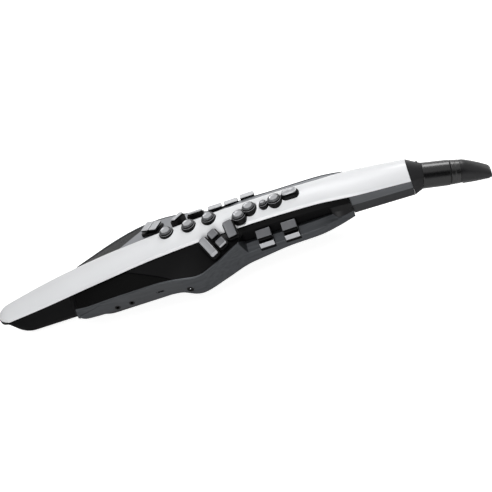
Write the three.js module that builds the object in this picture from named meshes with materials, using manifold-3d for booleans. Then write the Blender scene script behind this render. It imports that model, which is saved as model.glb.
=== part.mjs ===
// Digital wind controller lying on its back: X runs from the bell to the mouthpiece, Z points up
// out of the key side, and Y is positive on the player's right-hand side. Lengths are millimetres,
// and every place along the instrument is first given as a distance from the tip of the bell.
import * as THREE from 'three';
import { mergeVertices } from 'three/addons/utils/BufferGeometryUtils.js';
import Module from 'manifold-3d';

const wasm = await Module();
wasm.setup();

// Overall form
const overallLength = 605;
const crestAt = 335;
const crestHeight = 60.7;
const bellArchRadius = 1600;
const neckArchRadius = 1200;

// Fits shared by every piece
const gap = 0.3;
const overrun = 5;

// White front cover: a crowned shell with a steep lip along both sides
const cover = {
  half: 21.8, wall: 2.2, crown: 12, lipRise: 3.5, lipInset: 1.7, noseRun: 16, rim: 1.4, seat: 1,
  bluntShare: 0.98,
};
const coverHalfShares = [
  [0, 0.66], [0.03, 0.72], [0.07, 0.83], [0.11, 0.92], [0.15, 0.975], [0.2, 1], [0.3, 1], [0.36, 0.95],
  [0.42, 0.925], [0.79, 0.925], [0.84, 1], [0.88, 1.05], [0.93, 1.01], [1, 0.91],
];
const crownShares = [-1, -0.75, -0.4, 0, 0.4, 0.75, 1];

// Outer walls of the wings: how far the upper rim and the lower edge reach out, and how high they are,
// each as a share of the run of these tables and a share of the wing's own greatest reach or height
const wing = {
  tableRun: 517, start: 104, front: 8, end: 446, reach: 59.5, rimHeight: 57.3, lowerReach: 58,
  lowerHeight: 26, skin: 2.4, wall: 3, rim: 2.4, crown: 0.2, bow: 0.4, lean: 1.4,
};
const rimReachShares = [
  [0.2, 0.67], [0.232, 0.748], [0.29, 0.847], [0.35, 0.932], [0.406, 0.971], [0.484, 1], [0.503, 0.983],
  [0.522, 0.923], [0.551, 0.81], [0.58, 0.716], [0.609, 0.635], [0.638, 0.575], [0.7, 0.555], [0.8, 0.55],
  [0.836, 0.525], [0.868, 0.47],
];
const rimHeightShares = [
  [0.2, 0.602], [0.232, 0.648], [0.29, 0.756], [0.35, 0.838], [0.406, 0.874], [0.435, 0.862],
  [0.464, 0.82], [0.493, 0.759], [0.513, 0.742], [0.551, 0.79], [0.58, 0.872], [0.609, 0.95],
  [0.638, 0.995], [0.7, 0.99], [0.8, 0.975], [0.868, 0.94],
];
const lowerReachShares = [
  [0.2, 0.75], [0.3, 0.793], [0.383, 0.845], [0.447, 0.9], [0.484, 1], [0.507, 0.985], [0.557, 0.82],
  [0.604, 0.66], [0.64, 0.62], [0.71, 0.61], [0.78, 0.6], [0.822, 0.52], [0.868, 0.41],
];
const lowerHeightShares = [
  [0.2, 0.9], [0.225, 0.81], [0.3, 0.81], [0.383, 0.85], [0.447, 0.87], [0.484, 0.7], [0.507, 0.66],
  [0.557, 0.71], [0.604, 0.77], [0.64, 0.82], [0.71, 0.98], [0.82, 1.02], [0.868, 1.1],
];
const innerShares = [0.25, 0.4, 0.6];
const flankShares = [0.06, 0.25, 0.35, 0.45, 0.6, 0.85];

// Well on the left side that the palm keys stand in, and the sloping ledge below it
const well = {
  start: 312, ramp: 7, wallAt: 22.5, shelfShare: 0.35, shelfHeight: 42, lipHeight: 36, wallDrop: 2.7,
};
const strip = { reach: 25.6, drop: 3.6 };

// Keel of the back case, with a channel across it for the thumb hook
const keel = {
  bellHalf: 9, half: 24, belly: 1.2, chamfer: 6, chamferShare: 0.5, noseStart: 10, noseRun: 24,
  noseRise: 23, rise: 314, riseRun: 50, riseHeight: 18,
  wideStart: 96, wideEnd: 140, narrowStart: 262, narrowEnd: 318, neckHalf: 11,
};
const channel = { start: 251, end: 298, ceiling: 15 };

// Neck, from the wings to the collar
const neck = {
  seam: 1, length: 70, facetAt: 21, facetHeight: 42, facetDrop: 5, floorHalf: 13, floorHeight: 23.5, floorDrop: 2,
  chamfer: 3,
};
const neckStart = wing.end + neck.seam;
const caseLength = neckStart + neck.length;
const collar = { run: 12.2 };
const barrel = {
  tilt: 14.5, length: 31.5, radius: 15, endRadius: 14.6, bore: 9, centreHeight: 34.6, facets: 24,
};
const band = { length: 11.2, radius: 14.2, endRadius: 13.5, groove: 0.8 };
const beak = {
  length: 36, radius: 13.3, tipHalf: 8.5, tipDrop: 7.4, tipThick: 1.8, tableDrop: 3.2, airway: 1.8,
  squareShare: 0.7,
};
const tenon = { length: 23, radius: 8.7 };
const reed = { length: 33, half: 6.8, thick: 2.2, tipThick: 0.7, opening: 0.7 };
const sensor = { length: 9, radius: 8.6, nozzle: 2.4, nozzleLength: 4, bore: 1.2 };

// Grilles over the loudspeakers, on the wings nearest the bell
const grille = {
  innerTurn: 175, outerTurn: 220, rightInnerTurn: 158, rightOuterTurn: 200, drop: 0.8, outerAt: 50,
};
const speaker = {
  at: 150, across: 33, radius: 10.5, depth: 8, magnetRadius: 6, magnetDepth: 4, coneDip: 2.5,
  coneRadius: 8.4, capRadius: 3.2, capDip: 1.75, below: 6.6,
};

// Round finger keys
const finger = {
  radius: 7.2, face: 5.8, bevel: 1.9, top: 5.6, dish: 0.8, bottom: 2.5, travel: 2, play: 0.35, ring: 8.9,
  ringTop: 3, ringStep: 1.2, stem: 2, stemReach: 4.4, facets: 16, bowlShare: 0.6, bowlDrop: 0.7,
};
const bis = { radius: 4.1, face: 3.3, ring: 5.5 };
const frontKey = { length: 17.5, width: 9, corner: 3.6, ringWall: 1.4, bevel: 1.2 };
const fKeyAt = 286;
const eKeyFromF = 25;
const dKeyFromE = 28;
const dKeyAcross = 2.5;
const gKeyFromF = 35.5;
const gKeyAcross = -11.3;
const aKeyFromG = 13.3;
const aKeyAcross = -5.5;
const bKeyFromA = 30.5;
const bKeyAcross = -5.5;
const bisFromB = 13.3;
const bisAcross = -7;
const frontKeyFromB = 18.6;
const frontKeyAcross = -3.6;

// Black frame under the cover that carries the rings round the finger keys
const keyFrame = { start: 220, end: 402, half: 11, thick: 1.6, skirt: 1 };

// Board of the key switches
const board = { start: 224, end: 398, half: 14, thick: 1.2, dome: 2.4 };

// Plates of the side and little-finger keys
const plate = {
  thick: 2.8, travel: 1.6, corner: 1.4, bevel: 0.7, stem: 2, stemPlay: 0.3, stemReach: 3, stemClear: 3.2,
  boreFloor: 6,
};
const island = { margin: 1.6, clear: 0.5, depth: 8 };

// Left little finger: one long key by itself, then two square keys beside a second long key
const leftTable = { at: 290, tilt: 27, lift: 6.8, pad: 2.4 };
const gSharp = { length: 20.6, width: 10.6, along: 18.3, down: 0.2, turn: -81 };
const square = { size: 9.8, along: -2.3, down: -0.2, stepAlong: 7, stepDown: 12.8, turn: -63 };
const lowKey = { length: 25.8, width: 8.6, along: -10.7, down: 13.4, turn: -63 };

// Right little finger: two plates side by side, close to the bell-side finger key
const rightTable = { at: 210.3, tilt: 11, lift: 4.8 };
const pinkyPlate = { length: 19, width: 9.5, down: 16.7, turn: 69, seam: 0.9 };

// Two keys beyond the cover on the right side: a narrow trill key and a key along the cover
const trill = { at: 245, tilt: 19, lift: 6.9, down: 10.1, length: 20, width: 5.6, turn: 63 };
const crossKey = { at: 267.5, tilt: 27, lift: 6, down: 7.1, length: 17.5, width: 7.6, turn: 0 };
const trillPad = { half: 4, thick: 1.4 };

// Three side keys on a block along the right edge
const sideKey = {
  at: 290, pitch: 20.4, length: 17, width: 7, front: 34, thick: 3.2, tallThick: 4.9, clear: 2,
};
const sideBlock = { top: 52.6, bottom: 44, margin: 1, outer: 39.6, boreDepth: 5 };

// Palm keys on the left side: bent levers with an upper and a lower plate
const palm = {
  at: 342.5, pitch: 30.2, length: 16.6, topAt: 26.8, topHeight: 54.8, kneeAt: 33.8, kneeHeight: 48.4,
  waistAt: 31.2, waistTop: 46.6, waistBottom: 42.6, lipAt: 36, lipTop: 42, lipBottom: 33.4, thick: 2.8,
  neckThick: 2, hingeAt: 23.4, hingeTop: 51.8, hingeBottom: 49.8, play: 0.8, pocketUpper: 39, pocketLower: 31.2, pocketInner: 26.2, pocketDeep: 29.8,
};

// Back of the case: battery bay, thumb controls, hook and strap ring
const cell = { radius: 7.1, length: 49.5, nub: 1, nubRadius: 2.6, gap: 0.4, facets: 12, rows: 3 };
const bay = { start: 143, floor: 2.7 };
const batteryCover = { thick: 2, lip: 1, lift: 0.3, ridge: 0.8, ridgeWidth: 1.6, ridges: 4, ridgePitch: 5 };
const hook = {
  at: 272, width: 16, footLength: 22, footHalf: 9, foot: 2.4, slide: 4, bend: 4.6, thick: 3.2, clear: 0.9,
  armAt: -6, reach: 12,
};
const strap = {
  at: 291.5, radius: 5.2, wire: 1.1, plate: 2, plateLength: 8, plateHalf: 5, facets: 16, wireFacets: 6,
};
const thumbRest = { at: 357, radius: 8.5, thick: 2 };
const octave = { length: 11, half: 8, thick: 2.6, clear: 2, gap: 1.4 };
const lever = { at: 394, half: 6, hub: 5, tab: 8, tabThick: 3, sink: 2, play: 0.4 };
const dial = { at: 413, radius: 6, thick: 4, notch: 0.7, facets: 14 };
const power = { at: 431, length: 9, half: 3, thick: 2, clear: 1.4 };
const controlBore = 7;

// Sockets on the left side near the bell
const jack = {
  phonesAt: 153.5, phonesHeight: 26.6, outputAt: 172, outputHeight: 28.6, radius: 3.2, bore: 1.8,
  boreDepth: 9, flange: 0.6,
};
const jackBoard = { start: 147, end: 179, low: 25.8, high: 32, face: 41.8, thick: 1.2, pocket: 1 };
const port = { at: 210, height: 35, length: 9, thick: 3.2, depth: 8 };
const inlet = { at: 244, height: 28, radius: 4.2, depth: 2.2 };

// Finishes
const finish = (color, roughness, metalness = 0) => new THREE.MeshStandardMaterial({ color, roughness, metalness });
const whitePlastic = finish(0xe9eaec, 0.35);
const blackPlastic = finish(0x1f2022, 0.42);
const greyPlastic = finish(0x54565a, 0.5);
const keyPlastic = finish(0xa4a6a9, 0.38);
const barrelPlastic = finish(0x2c2d30, 0.3);
const steel = finish(0xb9bcc0, 0.3, 0.9);
const boardGreen = finish(0x1f5a3a, 0.6);
const cellSleeve = finish(0x3a4450, 0.5, 0.2);
const coneBlack = finish(0x262626, 0.8);

// Shape tools
const degrees = THREE.MathUtils.degToRad;
const lerp = THREE.MathUtils.lerp;
const smooth = THREE.MathUtils.smoothstep;
const at = (fromBell) => fromBell - overallLength / 2;
const mix = (from, to, share) => from.map((value, axis) => lerp(value, to[axis], share));

// Point between two (y, z) points on a line that bows outwards
function bowed(from, to, share, bow) {
  const [y, z] = mix(from, to, share);
  return [y + bow * Math.sin(share * Math.PI), z];
}

// Smooth curve through the pairs of a table of shares
function follow(shares, share) {
  const last = shares.length - 1;
  if (share <= shares[0][0]) return shares[0][1];
  if (share >= shares[last][0]) return shares[last][1];
  let step = 0;
  while (share > shares[step + 1][0]) step += 1;
  const slope = (index) => {
    const before = shares[Math.max(index - 1, 0)];
    const after = shares[Math.min(index + 1, last)];
    return (after[1] - before[1]) / (after[0] - before[0]);
  };
  const run = shares[step + 1][0] - shares[step][0];
  const t = (share - shares[step][0]) / run;
  const start = shares[step][1] * (1 + 2 * t) * (1 - t) ** 2;
  const end = shares[step + 1][1] * t * t * (3 - 2 * t);
  return start + end + run * (slope(step) * t * (1 - t) ** 2 + slope(step + 1) * t * t * (t - 1));
}

// The same faces, all turned over if they enclose a negative volume
function outward(positions, faces) {
  const corner = (index) => new THREE.Vector3().fromArray(positions, index * 3);
  const volume = faces.reduce((sum, [a, b, c]) => sum + corner(a).dot(corner(b).cross(corner(c))), 0);
  return volume < 0 ? faces.map(([a, b, c]) => [a, c, b]) : faces;
}

function geometryOf(positions, faces) {
  const geometry = new THREE.BufferGeometry();
  geometry.setAttribute('position', new THREE.Float32BufferAttribute(positions, 3));
  geometry.setIndex(outward(positions, faces).flat());
  return geometry;
}

// A closed geometry as a body that can be joined and cut
function toSolid(geometry) {
  const bare = geometry.clone();
  bare.deleteAttribute('normal');
  bare.deleteAttribute('uv');
  const merged = mergeVertices(bare, 1e-4);
  const corners = Array.from(merged.index.array);
  const faces = [];
  for (let face = 0; face < corners.length; face += 3) {
    const [a, b, c] = corners.slice(face, face + 3);
    if (a !== b && b !== c && c !== a) faces.push(a, b, c);
  }
  const mesh = new wasm.Mesh({
    numProp: 3,
    vertProperties: new Float32Array(merged.attributes.position.array),
    triVerts: new Uint32Array(faces),
  });
  return new wasm.Manifold(mesh);
}

function toGeometry(solid) {
  const { vertProperties, triVerts, numProp } = solid.getMesh();
  const geometry = new THREE.BufferGeometry();
  const positions = new Float32Array((vertProperties.length / numProp) * 3);
  for (let vertex = 0; vertex * numProp < vertProperties.length; vertex += 1) {
    for (let axis = 0; axis < 3; axis += 1) positions[vertex * 3 + axis] = vertProperties[vertex * numProp + axis];
  }
  geometry.setAttribute('position', new THREE.BufferAttribute(positions, 3));
  geometry.setIndex(new THREE.BufferAttribute(new Uint32Array(triVerts), 1));
  return geometry;
}

// Closed body through rings of points, each ring with its flat view given by two of its axes. Every
// four-sided patch is parted along its shorter diagonal, so that neighbours bend alike.
function loft(rings, flat = ([, y, z]) => [y, z]) {
  const size = rings[0].length;
  const outlines = rings.map((ring) => ring.map((point) => new THREE.Vector2(...flat(point))));
  const ordered = THREE.ShapeUtils.isClockWise(outlines[0]) ? rings.map((ring) => [...ring].reverse()) : rings;
  const points = ordered.flat();
  const faces = [];
  for (let ring = 0; ring + 1 < ordered.length; ring += 1) {
    for (let corner = 0; corner < size; corner += 1) {
      const a = ring * size + corner;
      const b = ring * size + ((corner + 1) % size);
      const span = (from, to) => Math.hypot(...points[from].map((value, axis) => value - points[to][axis]));
      if (span(a, b + size) < span(b, a + size)) faces.push([a, b, b + size], [a, b + size, a + size]);
      else faces.push([a, b, a + size], [b, b + size, a + size]);
    }
  }
  const cap = (ring) => {
    const outline = ordered[ring].map((point) => new THREE.Vector2(...flat(point)));
    return THREE.ShapeUtils.triangulateShape(outline, []).map((face) => face.map((corner) => corner + ring * size));
  };
  faces.push(...cap(0).map(([a, b, c]) => [a, c, b]), ...cap(ordered.length - 1));
  return toSolid(geometryOf(points.flat(), faces));
}

// A solid moved by the world matrix of a group
function carried(solid, matrix) {
  return toSolid(toGeometry(solid).applyMatrix4(matrix));
}

function moved(solid, x, y, z) {
  return carried(solid, new THREE.Matrix4().makeTranslation(x, y, z));
}

function turnedBy(solid, turnX, turnY, turnZ) {
  return carried(solid, new THREE.Matrix4().makeRotationFromEuler(new THREE.Euler(turnX, turnY, turnZ)));
}

// Lathe body about Z from (radius, height) points that start and end on the axis or close on themselves
function turned(points, facets) {
  const geometry = new THREE.LatheGeometry(points.map(([r, z]) => new THREE.Vector2(r, z)), facets);
  geometry.rotateX(Math.PI / 2);
  const bare = geometry.clone();
  bare.deleteAttribute('normal');
  bare.deleteAttribute('uv');
  const merged = mergeVertices(bare, 1e-4);
  const positions = Array.from(merged.attributes.position.array);
  const corners = Array.from(merged.index.array);
  const faces = [];
  for (let face = 0; face < corners.length; face += 3) {
    const [a, b, c] = corners.slice(face, face + 3);
    if (a !== b && b !== c && c !== a) faces.push([a, b, c]);
  }
  return toSolid(geometryOf(positions, faces));
}

const rod = (radius, low, high, facets) => turned([[0, low], [radius, low], [radius, high], [0, high]], facets);

// Box between two corners
function block(x0, x1, y0, y1, z0, z1) {
  const geometry = new THREE.BoxGeometry(x1 - x0, y1 - y0, z1 - z0);
  geometry.translate((x0 + x1) / 2, (y0 + y1) / 2, (z0 + z1) / 2);
  return toSolid(geometry);
}

// Outline of a rectangle with round corners, centred on the origin
function roundedOutline(length, width, corner) {
  const steps = 2;
  const signs = [[1, 1], [-1, 1], [-1, -1], [1, -1]];
  return signs.flatMap(([x, y], quarter) => Array.from({ length: steps + 1 }, (_, step) => {
    const angle = (quarter + step / steps) * Math.PI / 2;
    const [across, down] = [x * (length / 2 - corner), y * (width / 2 - corner)];
    return [across + corner * Math.cos(angle), down + corner * Math.sin(angle)];
  }));
}

// Plate with round corners and a bevelled upper edge, between two heights
function bevelledPlate(length, width, low, high, corner, bevel) {
  const ring = (shrink, z) => roundedOutline(length - 2 * shrink, width - 2 * shrink, corner - shrink / 2)
    .map(([x, y]) => [x, y, z]);
  const rings = bevel > 0 ? [ring(0, low), ring(0, high - bevel), ring(bevel, high)] : [ring(0, low), ring(0, high)];
  return loft(rings, ([x, y]) => [x, y]);
}

// Straight body over an outline of (x, y) points
function prism(outline, low, high) {
  return loft([low, high].map((z) => outline.map(([x, y]) => [x, y, z])), ([x, y]) => [x, y]);
}

// Straight body along X over an outline of (y, z) points
function bar(outline, start, end) {
  return loft([start, end].map((x) => outline.map(([y, z]) => [x, y, z])));
}

// Evenly spaced stations between two places, ends included
function stations(start, end, count) {
  return Array.from({ length: count + 1 }, (_, step) => lerp(start, end, step / count));
}

const join = (solids) => solids.reduce((whole, solid) => whole.add(solid));
const cut = (solid, tools) => tools.reduce((rest, tool) => rest.subtract(tool), solid);

// Every mesh goes into this group
const controller = new THREE.Group();

function addPart(name, solid, material, parent = controller) {
  const mesh = new THREE.Mesh(toGeometry(solid), material);
  mesh.name = name;
  parent.add(mesh);
  return mesh;
}

function seatedGroup(x, y, z, turnX, turnY = 0) {
  const group = new THREE.Group();
  group.position.set(x, y, z);
  group.rotation.set(turnX, turnY, 0);
  controller.add(group);
  group.updateMatrixWorld(true);
  return group;
}

// Height of the cover's lower edge: an arch that is tighter towards the neck
function edgeHeight(fromBell) {
  const radius = fromBell < crestAt ? bellArchRadius : neckArchRadius;
  return crestHeight - (fromBell - crestAt) ** 2 / (2 * radius);
}

// Rounding of the bell's tip in plan, with a small blunt front
function tipShare(fromBell, run) {
  const left = (1 - Math.min(fromBell / run, 1)) * cover.bluntShare;
  return Math.sqrt(1 - left ** 2);
}

function coverHalf(fromBell) {
  return cover.half * follow(coverHalfShares, fromBell / caseLength) * tipShare(fromBell, cover.noseRun);
}

// Height of the cover's outer surface at a distance across from the centre line
function coverTop(fromBell, across) {
  const shoulder = coverHalf(fromBell) * (1 - cover.lipInset / cover.half);
  const arch = (cover.crown - cover.lipRise) * tipShare(fromBell, cover.noseRun);
  return edgeHeight(fromBell) + cover.lipRise + arch * (1 - (across / shoulder) ** 2);
}

// Upper outline of the cover at a station, grown outwards by a clearance or shrunk by a wall
function coverOutline(fromBell, grow) {
  const half = coverHalf(fromBell) + grow;
  const shoulder = half * (1 - cover.lipInset / cover.half);
  const arch = (cover.crown - cover.lipRise) * tipShare(fromBell, cover.noseRun);
  const base = edgeHeight(fromBell) + cover.lipRise + grow;
  return crownShares.map((share) => [share * shoulder, base + arch * (1 - share * share)]);
}

function coverSection(fromBell, grow, drop) {
  const half = coverHalf(fromBell) + grow;
  const edge = edgeHeight(fromBell);
  const skirt = drop > 0 ? [[half, edge - drop], [-half, edge - drop]] : [];
  return [[-half, edge], ...coverOutline(fromBell, grow), [half, edge], ...skirt].map(([y, z]) => [at(fromBell), y, z]);
}

const noseShares = [0, 0.04, 0.12, 0.25, 0.42, 0.65, 1];
const coverRun = stations(cover.noseRun, caseLength, 18);

// Body that fills the cover from one place to another
function coverBody(start, end, grow, drop) {
  const nose = noseShares.map((share) => share * cover.noseRun);
  const inside = [...nose, ...coverRun.slice(1)].filter((place) => place > start && place < end);
  return loft([start, ...inside, end].map((fromBell) => coverSection(fromBell, grow, drop)));
}

// Reaches and heights of the wing walls
const rimReach = (fromBell) => wing.reach * follow(rimReachShares, fromBell / wing.tableRun);
const rimHeight = (fromBell) => wing.rimHeight * follow(rimHeightShares, fromBell / wing.tableRun);
const lowerReach = (fromBell) => wing.lowerReach * follow(lowerReachShares, fromBell / wing.tableRun);
const lowerHeight = (fromBell) => wing.lowerHeight * follow(lowerHeightShares, fromBell / wing.tableRun);
const seatAt = (fromBell) => coverHalf(fromBell) - cover.seat;
const shelfAt = (fromBell) => lerp(well.wallAt, lowerReach(fromBell), well.shelfShare);
const wellShare = (fromBell, side) => (side < 0 ? smooth(fromBell, well.start, well.start + well.ramp) : 0);

// Outer end of the upper skin: the wing's rim, or the strip above the palm-key well
function skinEnd(fromBell, side) {
  const overWell = [strip.reach, edgeHeight(fromBell) - strip.drop];
  return mix([rimReach(fromBell), rimHeight(fromBell)], overWell, wellShare(fromBell, side));
}

// Height of the upper skin at a distance out from the centre line
function skinTop(fromBell, side, reach) {
  const [outer, height] = skinEnd(fromBell, side);
  const inner = seatAt(fromBell);
  return lerp(edgeHeight(fromBell) - gap, height, (reach - inner) / (outer - inner));
}

// Outline of a side wall, from its inner top round the outside and back: a plain wall with a rim on
// the wing, and a sloping ledge over a wall beside the palm keys
function wallOutline(fromBell, side) {
  const [outer, height] = [rimReach(fromBell), rimHeight(fromBell)];
  const [foot, low] = [lowerReach(fromBell), lowerHeight(fromBell)];
  const rimAt = (back, crown = 0) => {
    return [outer - back, lerp(height, edgeHeight(fromBell), back / (outer - seatAt(fromBell))) + crown];
  };
  const shelf = shelfAt(fromBell);
  const inner = [rimAt(wing.rim), [foot - wing.wall, low]];
  const plain = [
    rimAt(wing.rim), rimAt(wing.rim / 2, wing.crown), [outer, height], [foot, low], [foot - wing.wall, low],
    ...[...innerShares].reverse().map((share) => bowed(inner[0], inner[1], share, wing.bow)),
  ];
  const ledge = [
    [well.wallAt + gap, well.shelfHeight], [shelf, well.shelfHeight], [foot, well.lipHeight], [foot, low],
    [foot - wing.wall, low], [foot - wing.wall, well.lipHeight - well.wallDrop],
    [shelf, well.shelfHeight - wing.wall], [well.wallAt + gap, well.shelfHeight - wing.wall],
  ];
  return plain.map((point, corner) => mix(point, ledge[corner], wellShare(fromBell, side)));
}

const keelShare = (fromBell) => THREE.MathUtils.clamp((fromBell - keel.noseStart) / keel.noseRun, 0, 1);

function keelHeight(fromBell) {
  const nose = keel.noseRise * (1 - keelShare(fromBell)) ** 2;
  const riseEnd = keel.rise + keel.riseRun;
  const rise = keel.riseHeight * smooth(fromBell, keel.rise, riseEnd);
  return nose + rise + (neck.floorHeight - keel.riseHeight) * smooth(fromBell, riseEnd, wing.end);
}

function keelHalf(fromBell) {
  const wide = lerp(keel.bellHalf, keel.half, smooth(fromBell, keel.wideStart, keel.wideEnd));
  return lerp(wide, keel.neckHalf, smooth(fromBell, keel.narrowStart, keel.narrowEnd));
}

// One side of the back case at a station, from the seat under the cover down to the keel
function caseSide(fromBell, side, inset) {
  const edge = edgeHeight(fromBell);
  const onWing = smooth(fromBell, wing.start - wing.front, wing.start - 2 * gap);
  const inWell = wellShare(fromBell, side);
  const tip = tipShare(fromBell, keel.noseRun);
  const overhang = smooth(fromBell, cover.noseRun, 2 * cover.noseRun);
  const seat = coverHalf(fromBell) + cover.rim * tip * (1 - overhang) - (cover.seat + gap * inset) * overhang;
  const half = keelHalf(fromBell) * tip;
  const floor = keelHeight(fromBell);
  const chamfer = Math.min(keel.chamfer * tip, (edge - gap - floor) * keel.chamferShare);
  const under = inset * (wing.skin + gap);
  const brow = [seat, edge - gap];
  const reach = rimReach(fromBell) - inset * wing.rim;
  const rim = [reach - inset * gap, skinTop(fromBell, 1, reach)];
  const foot = [lowerReach(fromBell) - inset * (wing.wall + gap), lowerHeight(fromBell)];
  const facing = innerShares.map((share) => bowed(rim, foot, share, wing.bow));
  const outerTop = mix(rim, facing[0], (inset * (wing.skin + 2 * gap)) / (rim[1] - facing[0][1]));
  const plain = [[seat, edge - gap - under], outerTop, ...facing, foot];
  const beside = [
    [seat, edge - gap - under], [well.wallAt, edge], [well.wallAt, well.shelfHeight - wing.wall - 2 * gap],
    [shelfAt(fromBell) - gap, well.shelfHeight - wing.wall - 2 * gap],
    [foot[0], well.lipHeight - well.wallDrop - gap], foot,
  ];
  const flank = flankShares.map((share) => bowed(brow, [half + chamfer, floor + chamfer], share, keel.belly * tip));
  const onSide = plain.map((point, corner) => mix(point, beside[corner], inWell));
  onSide[1][1] = skinTop(fromBell, side, onSide[1][0]) - under;
  const walls = flank.map((point, corner) => mix(point, onSide[corner], onWing));
  return [brow, ...walls, [half + chamfer, floor + chamfer], [half, floor]].map(([y, z]) => [at(fromBell), side * y, z]);
}

function caseSection(fromBell, inset) {
  return [...caseSide(fromBell, -1, inset), ...caseSide(fromBell, 1, inset).reverse()];
}

const wingRun = [
  ...stations(wing.start, well.start - well.ramp, 14),
  ...[0, 0.25, 0.5, 0.75, 1].map((share) => well.start + share * well.ramp),
  ...stations(well.start + 2 * well.ramp, wing.end, 7),
];
const bellRun = [
  ...noseShares.map((share) => share * cover.noseRun), ...stations(keel.noseRun, wing.start - wing.front, 5),
];

// Bell and wings as one body, without the skins that cover the wings
function caseBody() {
  const lip = [0.25, 0.5, 0.75, 1].map((share) => wing.start - wing.front + share * (wing.front - 2 * gap));
  const bell = [...bellRun, ...lip].map((fromBell) => caseSection(fromBell, 0));
  const step = wing.start - gap;
  return loft([...bell, ...[step, ...wingRun].map((fromBell) => caseSection(fromBell, 1))]);
}

// Everything the wings and the lower body fill on one side, grown by a clearance
function wingFill(side, grow) {
  return loft(wingRun.map((fromBell) => {
    const [outer, height] = skinEnd(fromBell, side);
    const edge = edgeHeight(fromBell) - gap + grow;
    const foot = lowerReach(fromBell) + grow;
    return [
      [0, 0], [0, edge], [seatAt(fromBell), edge], [outer + grow, height + grow],
      [foot, lowerHeight(fromBell)], [foot, 0],
    ].map(([y, z]) => [at(fromBell), side * y, z]);
  }));
}

// Upper skin of one wing, lowered by a drop
function skinBody(side, drop) {
  return loft(wingRun.map((fromBell) => {
    const inWell = wellShare(fromBell, side);
    const outer = skinEnd(fromBell, side)[0] - (wing.rim + gap) * (1 - inWell);
    const inner = seatAt(fromBell);
    const under = outer - wing.lean * (1 - inWell);
    const top = (reach) => skinTop(fromBell, side, reach) - drop;
    const bottom = (reach) => skinTop(fromBell, side, reach) - wing.skin;
    return [[inner, top(inner)], [outer, top(outer)], [under, bottom(under)], [inner, bottom(inner)]]
      .map(([y, z]) => [at(fromBell), side * y, z]);
  }));
}

function wallBody(side) {
  return loft(wingRun.map((fromBell) => wallOutline(fromBell, side).map(([y, z]) => [at(fromBell), side * y, z])));
}

// Plan of everything on the bell's side of a slanting line across one wing
function bellSide(side, innerTurn, outerTurn, shift) {
  const slope = (outerTurn - innerTurn) / (grille.outerAt - cover.half);
  const place = (reach) => at(innerTurn + slope * (reach - cover.half) + shift);
  const far = wing.reach + overrun;
  return prism([
    [at(0), 0], [place(0), 0], [place(far), side * far], [at(0), side * far],
  ], 0, crestHeight + cover.crown);
}

// Finger keys: each has a place along the cover and a distance across it
const gKeyAt = fKeyAt + gKeyFromF;
const aKeyAt = gKeyAt + aKeyFromG;
const bKeyAt = aKeyAt + bKeyFromA;
const fingerKeys = [
  { name: 'd_key', place: fKeyAt - eKeyFromF - dKeyFromE, across: dKeyAcross, form: finger },
  { name: 'e_key', place: fKeyAt - eKeyFromF, across: 0, form: finger },
  { name: 'f_key', place: fKeyAt, across: 0, form: finger },
  { name: 'g_key', place: gKeyAt, across: gKeyAcross, form: finger },
  { name: 'a_key', place: aKeyAt, across: aKeyAcross, form: finger },
  { name: 'bis_key', place: bKeyAt - bisFromB, across: bisAcross, form: { ...finger, ...bis } },
  { name: 'b_key', place: bKeyAt, across: bKeyAcross, form: finger },
];
const frontPlace = bKeyAt + frontKeyFromB;
const surfaceAt = (key) => coverTop(key.place, key.across);
const ringLow = -(cover.wall + gap + keyFrame.thick + keyFrame.skirt);
const frontSurface = coverTop(frontPlace, frontKeyAcross);
const standing = (solid, place, across, height) => moved(solid, at(place), across, height);

// Round ring with a stepped top edge and a cup that the key sinks into
function fingerRing({ ring, radius }) {
  const bore = radius + finger.play;
  const step = (ring - bore) / 2;
  return turned([
    [0, ringLow], [ring, ringLow], [ring, finger.ringTop - finger.ringStep],
    [ring - step, finger.ringTop - finger.ringStep],
    [ring - step, finger.ringTop], [bore, finger.ringTop], [bore, 0], [0, 0],
  ], finger.facets);
}

const stemTop = (finger.bottom + finger.top) / 2;

// Round key: a dished face in a bevelled edge, on a stem
function fingerKey({ radius, face }) {
  const rimTop = finger.top;
  return turned([
    [0, finger.bottom], [radius, finger.bottom], [radius, rimTop - finger.bevel], [face, rimTop],
    [face * finger.bowlShare, rimTop - finger.dish * finger.bowlDrop], [0, rimTop - finger.dish],
  ], finger.facets).add(rod(finger.stem, -finger.stemReach, stemTop, finger.facets / 2));
}

const stemBore = rod(finger.stem + finger.play, ringLow - overrun, overrun, finger.facets / 2);
const frontCornerGrow = finger.play + frontKey.ringWall;
const frontBlank = (grow, low, high) => prism(
  roundedOutline(frontKey.length + 2 * grow, frontKey.width + 2 * grow, frontKey.corner + grow), low, high,
);

// Front cover, with a hole for every ring
const ringHoles = fingerKeys.map((key) => standing(
  rod(key.form.ring + gap, ringLow - gap, overrun + finger.top, finger.facets), key.place, key.across,
  surfaceAt(key),
));
const frontHole = frontBlank(frontCornerGrow + gap, ringLow - gap, finger.top);
ringHoles.push(standing(frontHole, frontPlace, frontKeyAcross, frontSurface));
const coverShell = coverBody(0, caseLength, 0, 0)
  .subtract(coverBody(cover.wall, caseLength - cover.wall, -cover.wall, overrun));
addPart('front_cover', cut(coverShell, ringHoles), whitePlastic);

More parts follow.
